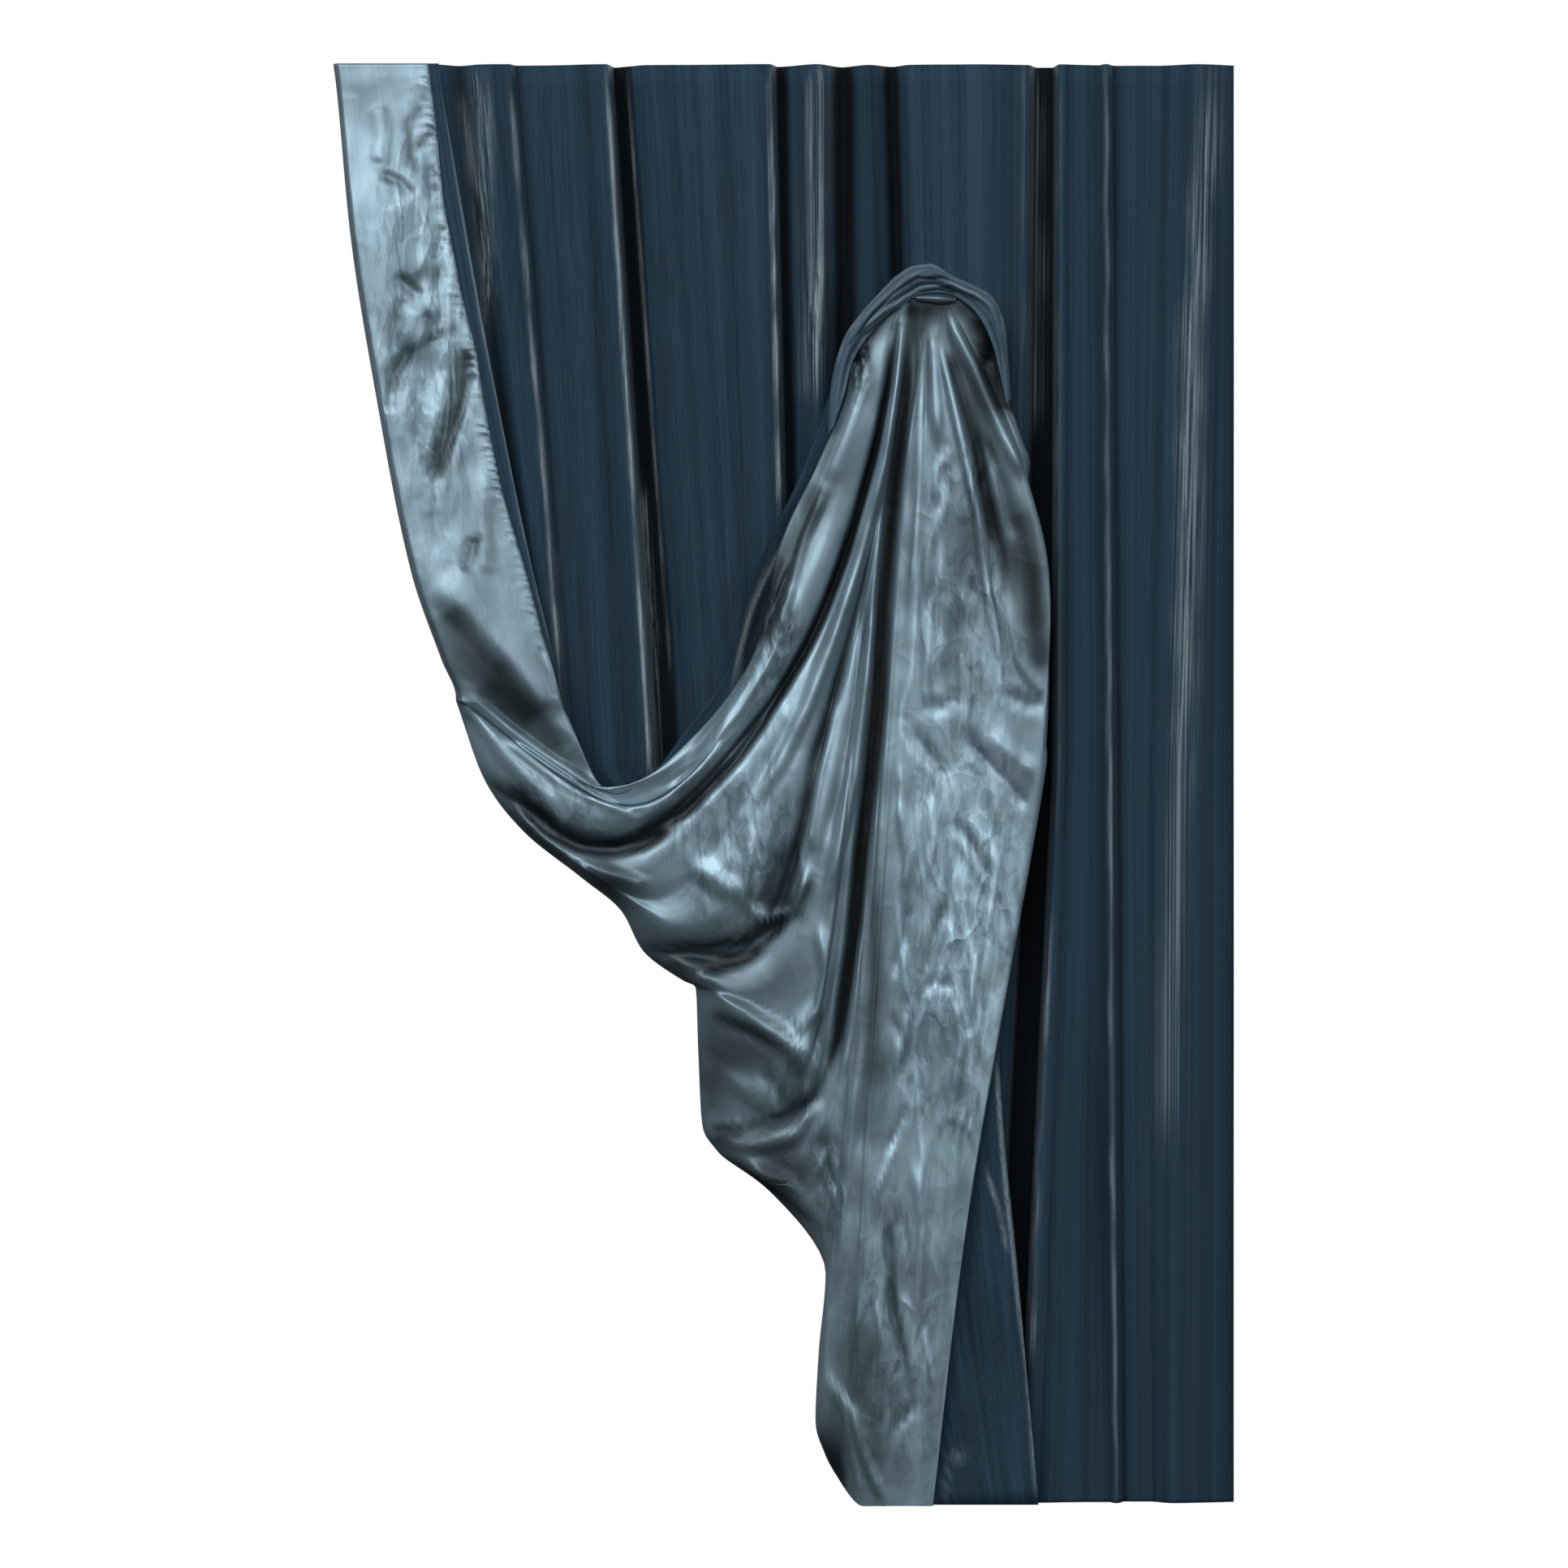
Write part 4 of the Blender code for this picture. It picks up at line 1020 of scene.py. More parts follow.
# %% Crumple of the satin
FACE_WAVES = [
    # x, drop, reach across, reach down, height, width of one wave, its length
    (0.265, 1.200, 0.150, 0.420, 0.0022, 0.020, 0.100),
    (0.240, 1.420, 0.130, 0.330, 0.0014, 0.013, 0.060),
    (0.270, 0.850, 0.130, 0.260, 0.0018, 0.022, 0.120),
    (0.165, 1.850, 0.120, 0.330, 0.0028, 0.026, 0.110),
    (-0.540, 0.350, 0.120, 0.450, 0.0020, 0.045, 0.075),
    (-0.500, 0.450, 0.070, 0.450, 0.0018, 0.016, 0.034),
    (-0.060, 1.150, 0.180, 0.200, 0.0018, 0.050, 0.060),
    (0.000, 1.500, 0.060, 0.050, 0.0040, 0.022, 0.026),
    (0.065, 1.650, 0.050, 0.140, 0.0026, 0.014, 0.026),
    (-0.020, 0.850, 0.070, 0.200, 0.0024, 0.016, 0.034),
    (0.270, 0.620, 0.090, 0.110, 0.0022, 0.014, 0.040),
    (0.108, 0.445, 0.030, 0.075, 0.0060, 0.010, 0.012),
    (0.300, 0.420, 0.030, 0.080, 0.0050, 0.014, 0.020),
    (-0.340, 1.100, 0.120, 0.080, 0.0026, 0.034, 0.016),
]


def out_of_patch(x, drop, patch):
    """0 in the middle of an oval patch, 1 at its rim and more outside. A patch has its middle and reaches."""
    x0, drop0, reach_x, reach_drop = patch
    return np.sqrt(((x - x0) / reach_x) ** 2 + ((drop - drop0) / reach_drop) ** 2)


def crushed_share(x, drop):
    """Where the satin is crushed: 1 in the middle of each patch of waves, little elsewhere."""
    share = np.full(x.shape, 0.05)
    for row in FACE_WAVES:
        share = np.maximum(share, 1 - smooth(out_of_patch(x, drop, row[:4])))
    return share


def crumple(x, drop):
    """Small heights of crumpled cloth: sharp little ridges where two smooth slopes meet."""
    total = 0.0022 * unevenness(x, drop, 0.045, 0.060, 1.3)
    bend_x = x + 0.016 * unevenness(x, drop, 0.080, 0.070, 5.5)
    bend_drop = drop + 0.012 * unevenness(x, drop, 0.060, 0.090, 8.2)
    for n, (*patch, height, wide, tall) in enumerate(FACE_WAVES):
        near = 1 - smooth(out_of_patch(x, drop, patch))
        wave = unevenness(bend_x, bend_drop, wide, tall, 11.0 + 3.3 * n)
        total += height * near * (0.55 - 2.2 * np.abs(wave) + 0.6 * wave)
    return total


print(len(FACE_WAVES), "patches of crumple")

# %% [markdown]
# ### Painted light and shade
#
# The satin's folds are given more light and shade than its shape and the lamps give, painted into its
# colour. Lamps could be moved until every fold has its own light, but they change all folds at once. So a
# second set of places and lines paints where the cloth looks darker (below 1, painted shade) or lighter
# (above 1, painted highlight): wide patches for whole folds, and thin streaks, because a long thin fold
# catches the light on one side and loses it on the other.

# %% Patches of painted light and shade
SATIN_PAINTED_LIGHT_AND_SHADE = [
    # x, drop, reach across, reach down, tone
    (-0.620, 0.050, 0.060, 0.060, 0.75),
    (-0.450, 0.930, 0.070, 0.070, 0.60),
    (-0.150, 1.310, 0.110, 0.050, 0.70),
    (-0.070, 1.460, 0.100, 0.080, 0.36),
    (0.000, 1.640, 0.100, 0.080, 0.11),
    (-0.250, 1.205, 0.070, 0.045, 0.18),
    (-0.030, 1.355, 0.080, 0.050, 0.42),
    (0.200, 1.600, 0.070, 0.120, 1.25),
    (0.205, 0.385, 0.070, 0.034, 0.40),
    (0.120, 1.980, 0.060, 0.200, 0.40),
    (0.200, 0.430, 0.060, 0.080, 0.55),
    (0.303, 0.445, 0.042, 0.115, 0.12),
    (0.112, 0.440, 0.032, 0.070, 0.35),
    (0.270, 0.800, 0.050, 0.160, 0.62),
    (0.365, 0.800, 0.024, 0.130, 0.35),
    (0.134, 1.380, 0.030, 0.260, 0.42),
    (-0.020, 0.800, 0.035, 0.090, 0.70),
    (-0.110, 1.355, 0.060, 0.030, 0.60),
    (-0.110, 1.250, 0.100, 0.060, 0.60),
    (0.260, 1.250, 0.120, 0.420, 1.38),
    (-0.050, 1.000, 0.120, 0.120, 1.45),
    (-0.100, 1.180, 0.090, 0.050, 1.22),
    (-0.540, 0.420, 0.050, 0.080, 0.80),
    (-0.500, 0.600, 0.040, 0.060, 0.76),
    (0.050, 0.720, 0.050, 0.140, 1.35),
    (0.340, 0.740, 0.040, 0.150, 0.42),
    (0.280, 0.680, 0.032, 0.120, 0.62),
    (-0.270, 1.110, 0.140, 0.040, 1.38),
]
print(len(SATIN_PAINTED_LIGHT_AND_SHADE), "patches of tone")

# %% Streaks of painted light and shade
PAINTED_LIGHT_AND_SHADE_STREAKS = [
    # line, width, tone
    ([(-0.534, 0.060), (-0.556, 0.086), (-0.550, 0.140), (-0.540, 0.166)], 0.006, 0.40),
    ([(-0.516, 0.092), (-0.540, 0.124)], 0.006, 0.35),
    ([(-0.593, 0.172), (-0.561, 0.177), (-0.545, 0.193)], 0.006, 0.55),
    ([(-0.568, 0.320), (-0.540, 0.312), (-0.505, 0.310)], 0.017, 0.42),
    ([(-0.478, 0.384), (-0.510, 0.402), (-0.540, 0.420), (-0.566, 0.450), (-0.580, 0.493)], 0.009, 0.36),
    ([(-0.467, 0.413), (-0.473, 0.482), (-0.491, 0.557), (-0.513, 0.621)], 0.011, 0.24),
    ([(-0.540, 0.493), (-0.556, 0.546)], 0.010, 0.70),
    ([(-0.447, 0.690), (-0.458, 0.735), (-0.472, 0.755)], 0.008, 0.45),
    ([(-0.425, 0.660), (-0.432, 0.740)], 0.010, 0.75),
    ([(-0.500, 0.800), (-0.465, 0.865), (-0.420, 0.915), (-0.360, 0.975)], 0.034, 0.26),
    ([(-0.430, 0.880), (-0.370, 0.950), (-0.320, 1.010)], 0.022, 0.50),
    ([(-0.561, 0.365), (-0.523, 0.375), (-0.497, 0.343), (-0.475, 0.332)], 0.004, 1.45),
    ([(-0.420, 1.060), (-0.385, 1.075), (-0.330, 1.135),
      (-0.290, 1.152), (-0.210, 1.152), (-0.160, 1.126)], 0.008, 0.25),
    ([(-0.225, 1.145), (-0.145, 1.105), (-0.071, 1.030), (-0.035, 0.980),
      (-0.005, 0.930), (0.030, 0.865), (0.061, 0.798), (0.085, 0.735)], 0.006, 0.45),
    ([(-0.110, 1.398), (-0.050, 1.424), (0.000, 1.456), (0.034, 1.486)], 0.010, 0.35),
    ([(-0.110, 1.480), (-0.105, 1.550)], 0.020, 0.60),
    ([(-0.470, 0.970), (-0.435, 1.030), (-0.400, 1.080)], 0.018, 2.20),
    ([(-0.405, 1.095), (-0.370, 1.135), (-0.320, 1.180)], 0.016, 0.40),
    ([(0.061, 0.798), (0.085, 0.735), (0.104, 0.680), (0.122, 0.615),
      (0.139, 0.550), (0.152, 0.480), (0.160, 0.400)], 0.008, 0.24),
    ([(0.138, 0.372), (0.112, 0.410), (0.102, 0.445)], 0.017, 0.12),
    ([(0.283, 0.368), (0.305, 0.420), (0.318, 0.470), (0.328, 0.525)], 0.026, 0.10),
    ([(0.345, 0.655), (0.368, 0.760), (0.376, 0.850), (0.382, 0.905)], 0.020, 0.30),
    ([(0.062, 0.615), (0.040, 0.665), (0.012, 0.725), (-0.020, 0.790), (-0.042, 0.860)], 0.025, 0.20),
    ([(0.187, 0.380), (0.180, 0.500), (0.166, 0.600), (0.156, 0.700), (0.147, 0.800), (0.138, 0.950),
      (0.128, 1.050), (0.115, 1.150), (0.101, 1.300), (0.079, 1.440), (0.052, 1.525)], 0.010, 0.05),
    ([(0.175, 0.368), (0.175, 0.420), (0.165, 0.470), (0.152, 0.530),
      (0.140, 0.600), (0.120, 0.660), (0.106, 0.710)], 0.0045, 1.60),
    ([(0.226, 0.400), (0.243, 0.475), (0.260, 0.550), (0.275, 0.620), (0.295, 0.700),
      (0.300, 0.800), (0.316, 0.870), (0.317, 0.923), (0.300, 0.960)], 0.0030, 1.80),
    ([(0.238, 0.420), (0.256, 0.480), (0.278, 0.560), (0.296, 0.640), (0.318, 0.720)], 0.009, 0.28),
    ([(0.246, 0.368), (0.252, 0.400), (0.279, 0.450), (0.300, 0.500),
      (0.321, 0.550), (0.345, 0.598)], 0.0050, 1.60),
    ([(0.218, 0.415), (0.224, 0.470), (0.227, 0.520)], 0.0080, 1.70),
    ([(0.202, 0.420), (0.200, 0.560), (0.194, 0.720), (0.192, 0.817), (0.187, 0.903), (0.173, 0.950),
      (0.170, 0.983), (0.187, 1.017), (0.213, 1.043), (0.233, 1.060)], 0.0026, 1.70),
    ([(0.245, 0.600), (0.226, 0.680), (0.230, 0.750), (0.210, 0.810), (0.213, 0.837),
      (0.210, 0.883), (0.207, 0.930), (0.220, 0.950)], 0.0026, 1.70),
    ([(0.300, 0.750), (0.327, 0.830), (0.334, 0.883), (0.354, 0.923), (0.380, 0.943)], 0.0026, 1.80),
    ([(0.262, 0.975), (0.285, 0.985)], 0.010, 0.60),
    ([(0.267, 1.030), (0.314, 1.063), (0.362, 1.092)], 0.006, 0.60),
    ([(0.247, 1.143), (0.280, 1.190), (0.297, 1.223)], 0.006, 0.60),
    ([(0.025, 1.150), (0.030, 1.200), (0.020, 1.235), (-0.020, 1.258), (-0.055, 1.262)], 0.0035, 1.70),
    ([(-0.205, 1.312), (-0.150, 1.302), (-0.060, 1.305), (-0.010, 1.285)], 0.0040, 1.80),
    ([(-0.180, 1.325), (-0.100, 1.335), (-0.050, 1.312), (0.020, 1.250), (0.045, 1.190)], 0.011, 0.30),
    ([(-0.122, 1.368), (-0.060, 1.400), (0.000, 1.438),
      (0.044, 1.470), (0.041, 1.515), (0.012, 1.490)], 0.0040, 1.10),
    ([(-0.110, 1.585), (-0.050, 1.587), (0.010, 1.560), (0.045, 1.530)], 0.011, 0.30),
    ([(-0.118, 1.566), (-0.060, 1.558), (0.000, 1.540), (0.035, 1.525)], 0.0035, 1.70),
    ([(0.108, 1.200), (0.106, 1.330), (0.095, 1.430), (0.082, 1.530)], 0.0040, 1.50),
]
# The pulled lines also get a painted highlight.
PAINTED_LIGHT_AND_SHADE_STREAKS += [(line, 0.0030, 1.55) for line in PULLED_LINES]
print(len(PAINTED_LIGHT_AND_SHADE_STREAKS), "streaks of tone")

# %% The painted light and shade at each place
DARKEST, LIGHTEST = 0.03, 2.4


def painted_light_and_shade_of(x, drop):
    """The painted light and shade of the satin at each place, as a factor on its colour, 1 where nothing
    changes it.
    """
    tone = np.ones(x.shape)
    for *patch, value in SATIN_PAINTED_LIGHT_AND_SHADE:
        near = 1 - smooth(out_of_patch(x, drop, patch) / 1.25)
        tone *= 1 + (value - 1) * near
    for line, width, value in PAINTED_LIGHT_AND_SHADE_STREAKS:
        tone *= 1 + (value - 1) * drawn_marks(x, drop, [(line, width, 1.0)])
    return np.clip(tone, DARKEST, LIGHTEST)


# Painted shade between the swag and the tail, at one place.
painted_shade_between = painted_light_and_shade_of(np.array([0.0]), np.array([1.64]))
print("between the swag and the tail the tone is", round(float(painted_shade_between[0]), 2))

# %% [markdown]
# ### Pressing the creases in
#
# The heights are added to both grids of the satin. A hollow may not reach the velvet behind it, so it
# flattens out before it gets there. Beside the band's seam the thread has gathered the satin into small
# even puckers, which are waves along the seam that die out within a couple of centimetres.

# %% Creases and puckers in the satin
def crease_satin(grid, along_fade):
    """Adds the drawn creases and the crumple, and keeps the satin clear of the velvet behind it."""
    x, forward, drop = grid[..., 0], grid[..., 1], grid[..., 2]
    height = drawn_height(x, drop, SATIN_CREASES) + crumple(x, drop)
    clear = backing(x, drop) + (VELVET_THICK + SATIN_THICK) / 2 + 2 * SEWN_GAP
    room = np.maximum(forward - clear, 0.0)
    height = np.where(height < 0, -room * np.tanh(-height / np.maximum(room, 1e-5)), height)
    grid[..., 1] = forward + height * along_fade


PUCKER_HIGH = 0.0026
PUCKER_LONG = 0.0135        # from one pucker to the next


def seam_puckers(grid):
    """Little gathers where the band's satin is sewn to the velvet's folded edge."""
    x, drop = grid[..., 0], grid[..., 2]
    seam_drop = np.clip(drop, 0, BAND_EDGE[-1][1])
    seam_x = edge_at(BAND_EDGE, seam_drop.ravel()).reshape(x.shape)
    inside = np.exp(-np.abs(seam_x - x) / 0.011) * smooth((0.94 - drop) / 0.05) * smooth(drop / 0.03)
    wander = unevenness(x, drop, 0.05, 0.030, 9.4)
    waves = np.sin(2 * math.pi * (drop / PUCKER_LONG + 1.6 * wander))
    return PUCKER_HIGH * inside * waves * (0.6 + wander)


fan_fade = smooth(fan_along / 0.04) * smooth((1 - fan_along) / WRAP_SHARE)
crease_satin(fan_grid, fan_fade)
band_steps = np.concatenate([LONG_STEPS, np.ones(BAND_DOWN)])
from_top = smooth((band_grid[..., 2] - 0.004) / 0.03)
past_swag = smooth((band_steps - 1 + WRAP_SHARE) / WRAP_SHARE)[None, :]
near_fold = smooth((1 - band_shares) / BAND_TURN)[:, None]
band_fade = smooth(band_steps / 0.04)[None, :] * (1 - past_swag * (1 - near_fold)) * from_top
crease_satin(band_grid, band_fade)
band_grid[:, len(LONG_STEPS):, 1] += seam_puckers(band_grid[:, len(LONG_STEPS):])
band_grid[-1, :len(LONG_STEPS)] = fan_grid[0]
satin_reach = [round(float(end(fan_grid[..., 1])), 4) for end in (np.min, np.max)]
print("the satin lies from", satin_reach[0], "to", satin_reach[1], "m forward")

# %% The satin's mesh
def creased_painted_shade(grid):
    """How much painted shade the drawn creases give at each place: 1 in a deep one."""
    return smooth(-drawn_height(grid[..., 0], grid[..., 2], SATIN_CREASES) / 0.016)


BAND_WIDTH = 0.22           # of flat cloth, and then the fan's lines follow
FAN_SPACING = 0.0052
fan_across = np.tile((np.arange(len(fan_grid)) * FAN_SPACING + BAND_WIDTH)[:, None], (1, fan_grid.shape[1]))
band_across = np.tile((band_shares * BAND_WIDTH)[:, None], (1, band_grid.shape[1]))
# Painted shade of the satin: darker where it lies behind its neighbours and in the drawn creases.
fan_painted_shade = np.maximum(hollows(fan_grid[..., 1], 12, 3, 0.011), creased_painted_shade(fan_grid))
# Painted shadow under the tieback: the top of the fan, right of 0.175 m, is darkened.
painted_shadow_under_tie = 1 - smooth((fan_grid[..., 2] - 0.364) / 0.030)
fan_painted_shade = np.maximum(fan_painted_shade, painted_shadow_under_tie * smooth((fan_grid[..., 0] - 0.175) / 0.01))
band_painted_shade = np.maximum(hollows(band_grid[..., 1], 4, 4, 0.012), creased_painted_shade(band_grid))
# The hollow mark carries the satin's painted shade.
satin_grids = [fan_grid, band_grid]
# The tone mark carries the satin's painted light and shade.
satin = cloth_piece("satin_lining_sheet", satin_grids, SATIN_THICK, [fan_across, band_across],
                    {"hollow": [fan_painted_shade, band_painted_shade],
                     "crushed": [crushed_share(grid[..., 0], grid[..., 2]) for grid in satin_grids],
                     "tone": [painted_light_and_shade_of(grid[..., 0], grid[..., 2]) for grid in satin_grids]})
print("the satin has", len(satin.data.attributes), "kinds of data on its mesh")

# %% [markdown]
# ## The tieback
#
# A soft velvet band is folded over the throat and gathers all of the cloth behind it. In section it is a
# low roll with two or three ridges along it. It is made as a strip that follows its own curve, with
# fine ridges added across it, because a plain tube would look like a rope. Its longest folds are drawn
# as creases, and their crests are worn pale with a painted sheen, as the velvet's are; its hollows and
# creases get painted shade.

# %% Sections of the tieback
# outer x, outer drop, inner x, inner drop, crown, stand of the inner edge
TIE_SECTIONS = [
    (0.066, 0.548, 0.072, 0.540, 0.000, 0.010),
    (0.069, 0.490, 0.088, 0.492, 0.005, 0.012),
    (0.078, 0.440, 0.099, 0.446, 0.008, 0.014),
    (0.092, 0.403, 0.118, 0.413, 0.012, 0.014),
    (0.114, 0.372, 0.142, 0.386, 0.014, 0.013),
    (0.140, 0.343, 0.167, 0.366, 0.017, 0.010),
    (0.165, 0.318, 0.187, 0.351, 0.020, 0.008),
    (0.190, 0.303, 0.203, 0.343, 0.022, 0.008),
    (0.216, 0.300, 0.221, 0.341, 0.022, 0.008),
    (0.244, 0.316, 0.243, 0.343, 0.020, 0.008),
    (0.273, 0.330, 0.262, 0.354, 0.016, 0.012),
    (0.301, 0.345, 0.282, 0.371, 0.014, 0.014),
    (0.316, 0.368, 0.296, 0.394, 0.012, 0.014),
    (0.324, 0.395, 0.307, 0.420, 0.010, 0.014),
    (0.328, 0.440, 0.316, 0.453, 0.006, 0.012),
    (0.332, 0.500, 0.327, 0.505, 0.000, 0.010),
]
TIE_CREASES = [
    # line, height, reach left or below, reach right or above
    ([(0.086, 0.440), (0.099, 0.398), (0.137, 0.358), (0.180, 0.321),
      (0.206, 0.309), (0.233, 0.314), (0.262, 0.331)], 0.0040, 0.006, 0.008),
    ([(0.110, 0.398), (0.145, 0.370), (0.174, 0.351), (0.201, 0.334),
      (0.244, 0.329), (0.281, 0.345), (0.303, 0.362)], 0.0045, 0.006, 0.006),
    ([(0.095, 0.420), (0.130, 0.374), (0.160, 0.343), (0.195, 0.321),
      (0.235, 0.321), (0.268, 0.337), (0.300, 0.350)], -0.0055, 0.005, 0.005),
    ([(0.115, 0.408), (0.150, 0.378), (0.172, 0.362)], -0.0050, 0.005, 0.005),
    ([(0.196, 0.342), (0.225, 0.337), (0.255, 0.343)], -0.0040, 0.004, 0.005),
    ([(0.300, 0.372), (0.312, 0.410), (0.320, 0.450)], 0.0040, 0.005, 0.005),
]
# Pale lines on the tieback's crests: worn pile with a painted sheen on it.
TIE_WEAR_AND_SHEEN = [
    # line, width, strength
    ([(0.078, 0.450), (0.092, 0.404), (0.132, 0.354), (0.163, 0.322),
      (0.190, 0.305), (0.216, 0.302), (0.240, 0.316)], 0.0016, 0.75),
    ([(0.110, 0.398), (0.145, 0.370), (0.174, 0.351), (0.201, 0.334),
      (0.244, 0.329), (0.281, 0.345), (0.303, 0.362)], 0.0014, 0.65),
    ([(0.099, 0.398), (0.137, 0.358), (0.180, 0.321), (0.206, 0.309)], 0.0014, 0.45),
    ([(0.240, 0.316), (0.275, 0.332), (0.302, 0.347), (0.318, 0.372), (0.325, 0.410)], 0.0014, 0.45),
]
print(len(TIE_SECTIONS), "sections and", len(TIE_CREASES), "creases of the tieback")

# %% The tieback's mesh
TIE_ALONG = 220
TIE_ACROSS = 46
TIE_TUCK = 0.006            # how far its inner edge turns back under it
TIE_WIDTH = 0.05            # of flat cloth, folded
RIDGE_HIGH = 0.0018


def tie_grid():
    """The tieback's grid, from its left end over the top to its right end."""
    given = np.array(TIE_SECTIONS)
    rows = through(np.arange(len(given)), given, np.linspace(0, len(given) - 1, TIE_ALONG))
    flat = THROAT_FORWARD + (SATIN_THICK + TIE_THICK) / 2 + SEWN_GAP
    share = np.linspace(0, 1, TIE_ACROSS)[None, :]
    x = rows[:, :1] + (rows[:, 2:3] - rows[:, :1]) * share
    drop = rows[:, 1:2] + (rows[:, 3:4] - rows[:, 1:2]) * share
    held = np.minimum(share / 0.75, 1.0)
    wander = 0.30 * unevenness(x, drop, 0.07, 0.07, 2.2)
    ridges = RIDGE_HIGH * np.cos(2 * math.pi * 2.4 * (share + wander)) * np.sin(math.pi * share) ** 0.6
    small = RIDGE_HIGH * unevenness(x, drop, 0.014, 0.018, 4.4)
    crown = rows[:, 4:5] * np.sin(math.pi * held)
    forward = flat + rows[:, 5:6] + crown - TIE_TUCK * (1 - held)
    forward += (ridges + small) * smooth(rows[:, 4:5] / 0.010)
    forward += drawn_height(x, drop, TIE_CREASES)
    return np.stack([x, np.maximum(forward, flat), drop], axis=-1)


tie_places = tie_grid()
tie_across = np.tile(np.linspace(0, TIE_WIDTH, TIE_ACROSS)[None, :], (TIE_ALONG, 1))
tie_creased = drawn_height(tie_places[..., 0], tie_places[..., 2], TIE_CREASES)
# Painted shade of the tieback: darker in its hollows and creases, carried by the hollow mark.
tie_painted_shade = np.maximum(hollows(tie_places[..., 1], 4, 4, 0.004), smooth(-tie_creased / 0.005))
tie_worn_and_sheen = drawn_marks(tie_places[..., 0], tie_places[..., 2], TIE_WEAR_AND_SHEEN)
no_marks = np.zeros(tie_places.shape[:2])
tieback = cloth_piece("tieback_roll", [tie_places], TIE_THICK, [tie_across],
                      {"worn_and_sheen": [tie_worn_and_sheen], "painted_sheen": [no_marks], "hollow": [tie_painted_shade * 0.8]})

# %% [markdown]
# ### The tuck of lining
#
# Just under the tieback a little of the lining is squeezed out over the gathered folds. It is made as its
# own short roll of satin, because the fan's lines all start below it.

# %% The tuck of lining under the tieback
TUCK_ENDS = ((0.193, 0.349), (0.252, 0.352))
TUCK_TALL = 0.015
TUCK_HIGH = 0.011
TUCK_ALONG = 40
TUCK_AROUND = 16


def tuck_grid():
    """A short roll of the lining that shows between the tieback and the gathered throat."""
    along = np.linspace(0, 1, TUCK_ALONG)[:, None]
    around = np.linspace(-0.2, math.pi + 0.2, TUCK_AROUND)[None, :]
    middle_x = TUCK_ENDS[0][0] + (TUCK_ENDS[1][0] - TUCK_ENDS[0][0]) * along + 0 * around
    middle_drop = TUCK_ENDS[0][1] + (TUCK_ENDS[1][1] - TUCK_ENDS[0][1]) * along
    size = 0.25 + 0.75 * np.sin(math.pi * np.clip(along, 0.04, 0.96)) ** 0.5
    size = size * (1 + 0.35 * unevenness(middle_x, middle_drop + 0 * around, 0.02, 0.02, 6.1))
    drop = middle_drop - TUCK_TALL / 2 * np.cos(around) * size
    forward = THROAT_FORWARD + 0.0035 + TUCK_HIGH * np.sin(np.clip(around, 0, math.pi)) * size
    return np.stack([middle_x, forward, drop], axis=-1)


tuck_places = tuck_grid()
tuck_marks = np.zeros(tuck_places.shape[:2])
tuck_across = np.tile(np.linspace(0, 2 * TUCK_TALL, TUCK_AROUND)[None, :], (TUCK_ALONG, 1))
# The tuck's tone of 0.5 is painted shade under the tieback.
tuck = cloth_piece("lining_tuck", [tuck_places], SATIN_THICK, [tuck_across],
                   {"hollow": [tuck_marks], "crushed": [tuck_marks + 0.3], "tone": [tuck_marks + 0.5]})

# %% [markdown]
# ## The finish of each cloth
#
# Velvet is dark when it faces you and pale where its pile is seen from the side, which the sheen of the
# shader gives. Its fine upright streaks are noise on the flat cloth's own map, stretched along the pile.
# Satin is smooth threads over a weave: a tinted, partly metallic gloss that is drawn out along them. Where
# it is crushed it looks marbled, which two sizes of noise with a pale line round each patch give; the pale
# lines are painted glints. Both finishes darken their colour by the painted shade of the hollow mark, the
# velvet lightens it by its worn lines and painted sheen, and the satin scales it by its painted light and
# shade.

# %% Nodes and finishes
def add_node(tree, kind, inputs=None, **settings):
    """A new node with its settings and the values or links of its inputs."""
    made = tree.nodes.new(kind)
    for key, value in settings.items():
        setattr(made, key, value)
    for key, value in (inputs or {}).items():
        if isinstance(value, bpy.types.NodeSocket):
            tree.links.new(value, made.inputs[key])
        else:
            made.inputs[key].default_value = value
    return made


def new_finish(name, sockets):
    """A material with its Principled shader's own sockets set."""
    material = bpy.data.materials.new(name)
    material.use_nodes = True
    shader = material.node_tree.nodes["Principled BSDF"]
    for key, value in sockets.items():
        shader.inputs[key].default_value = value
    return material, material.node_tree, shader


def mark(tree, name):
    """One of the marks that the cloth's mesh carries, from 0 to 1."""
    return add_node(tree, "ShaderNodeAttribute", attribute_name=name).outputs["Fac"]


def math_node(tree, operation, *values):
    """One step of arithmetic in a shader."""
    return add_node(tree, "ShaderNodeMath", dict(enumerate(values)), operation=operation).outputs[0]


def between(tree, value, low, high, to_low=0.0, to_high=1.0):
    """Stretches a value from one range to another, and holds it there."""
    made = add_node(tree, "ShaderNodeMapRange", {"Value": value, "From Min": low, "From Max": high,
                                                 "To Min": to_low, "To Max": to_high})
    return made.outputs[0]


def mixed(tree, share, first, second):
    """A colour between two, by a share."""
    made = add_node(tree, "ShaderNodeMix", data_type="RGBA")
    for socket, value in ((made.inputs[0], share), (made.inputs[6], first), (made.inputs[7], second)):
        if isinstance(value, bpy.types.NodeSocket):
            tree.links.new(value, socket)
        elif isinstance(value, tuple):
            socket.default_value = (*value, 1.0)
        else:
            socket.default_value = value
    return made.outputs[2]


print(len(bpy.data.materials), "materials before the cloth's own")

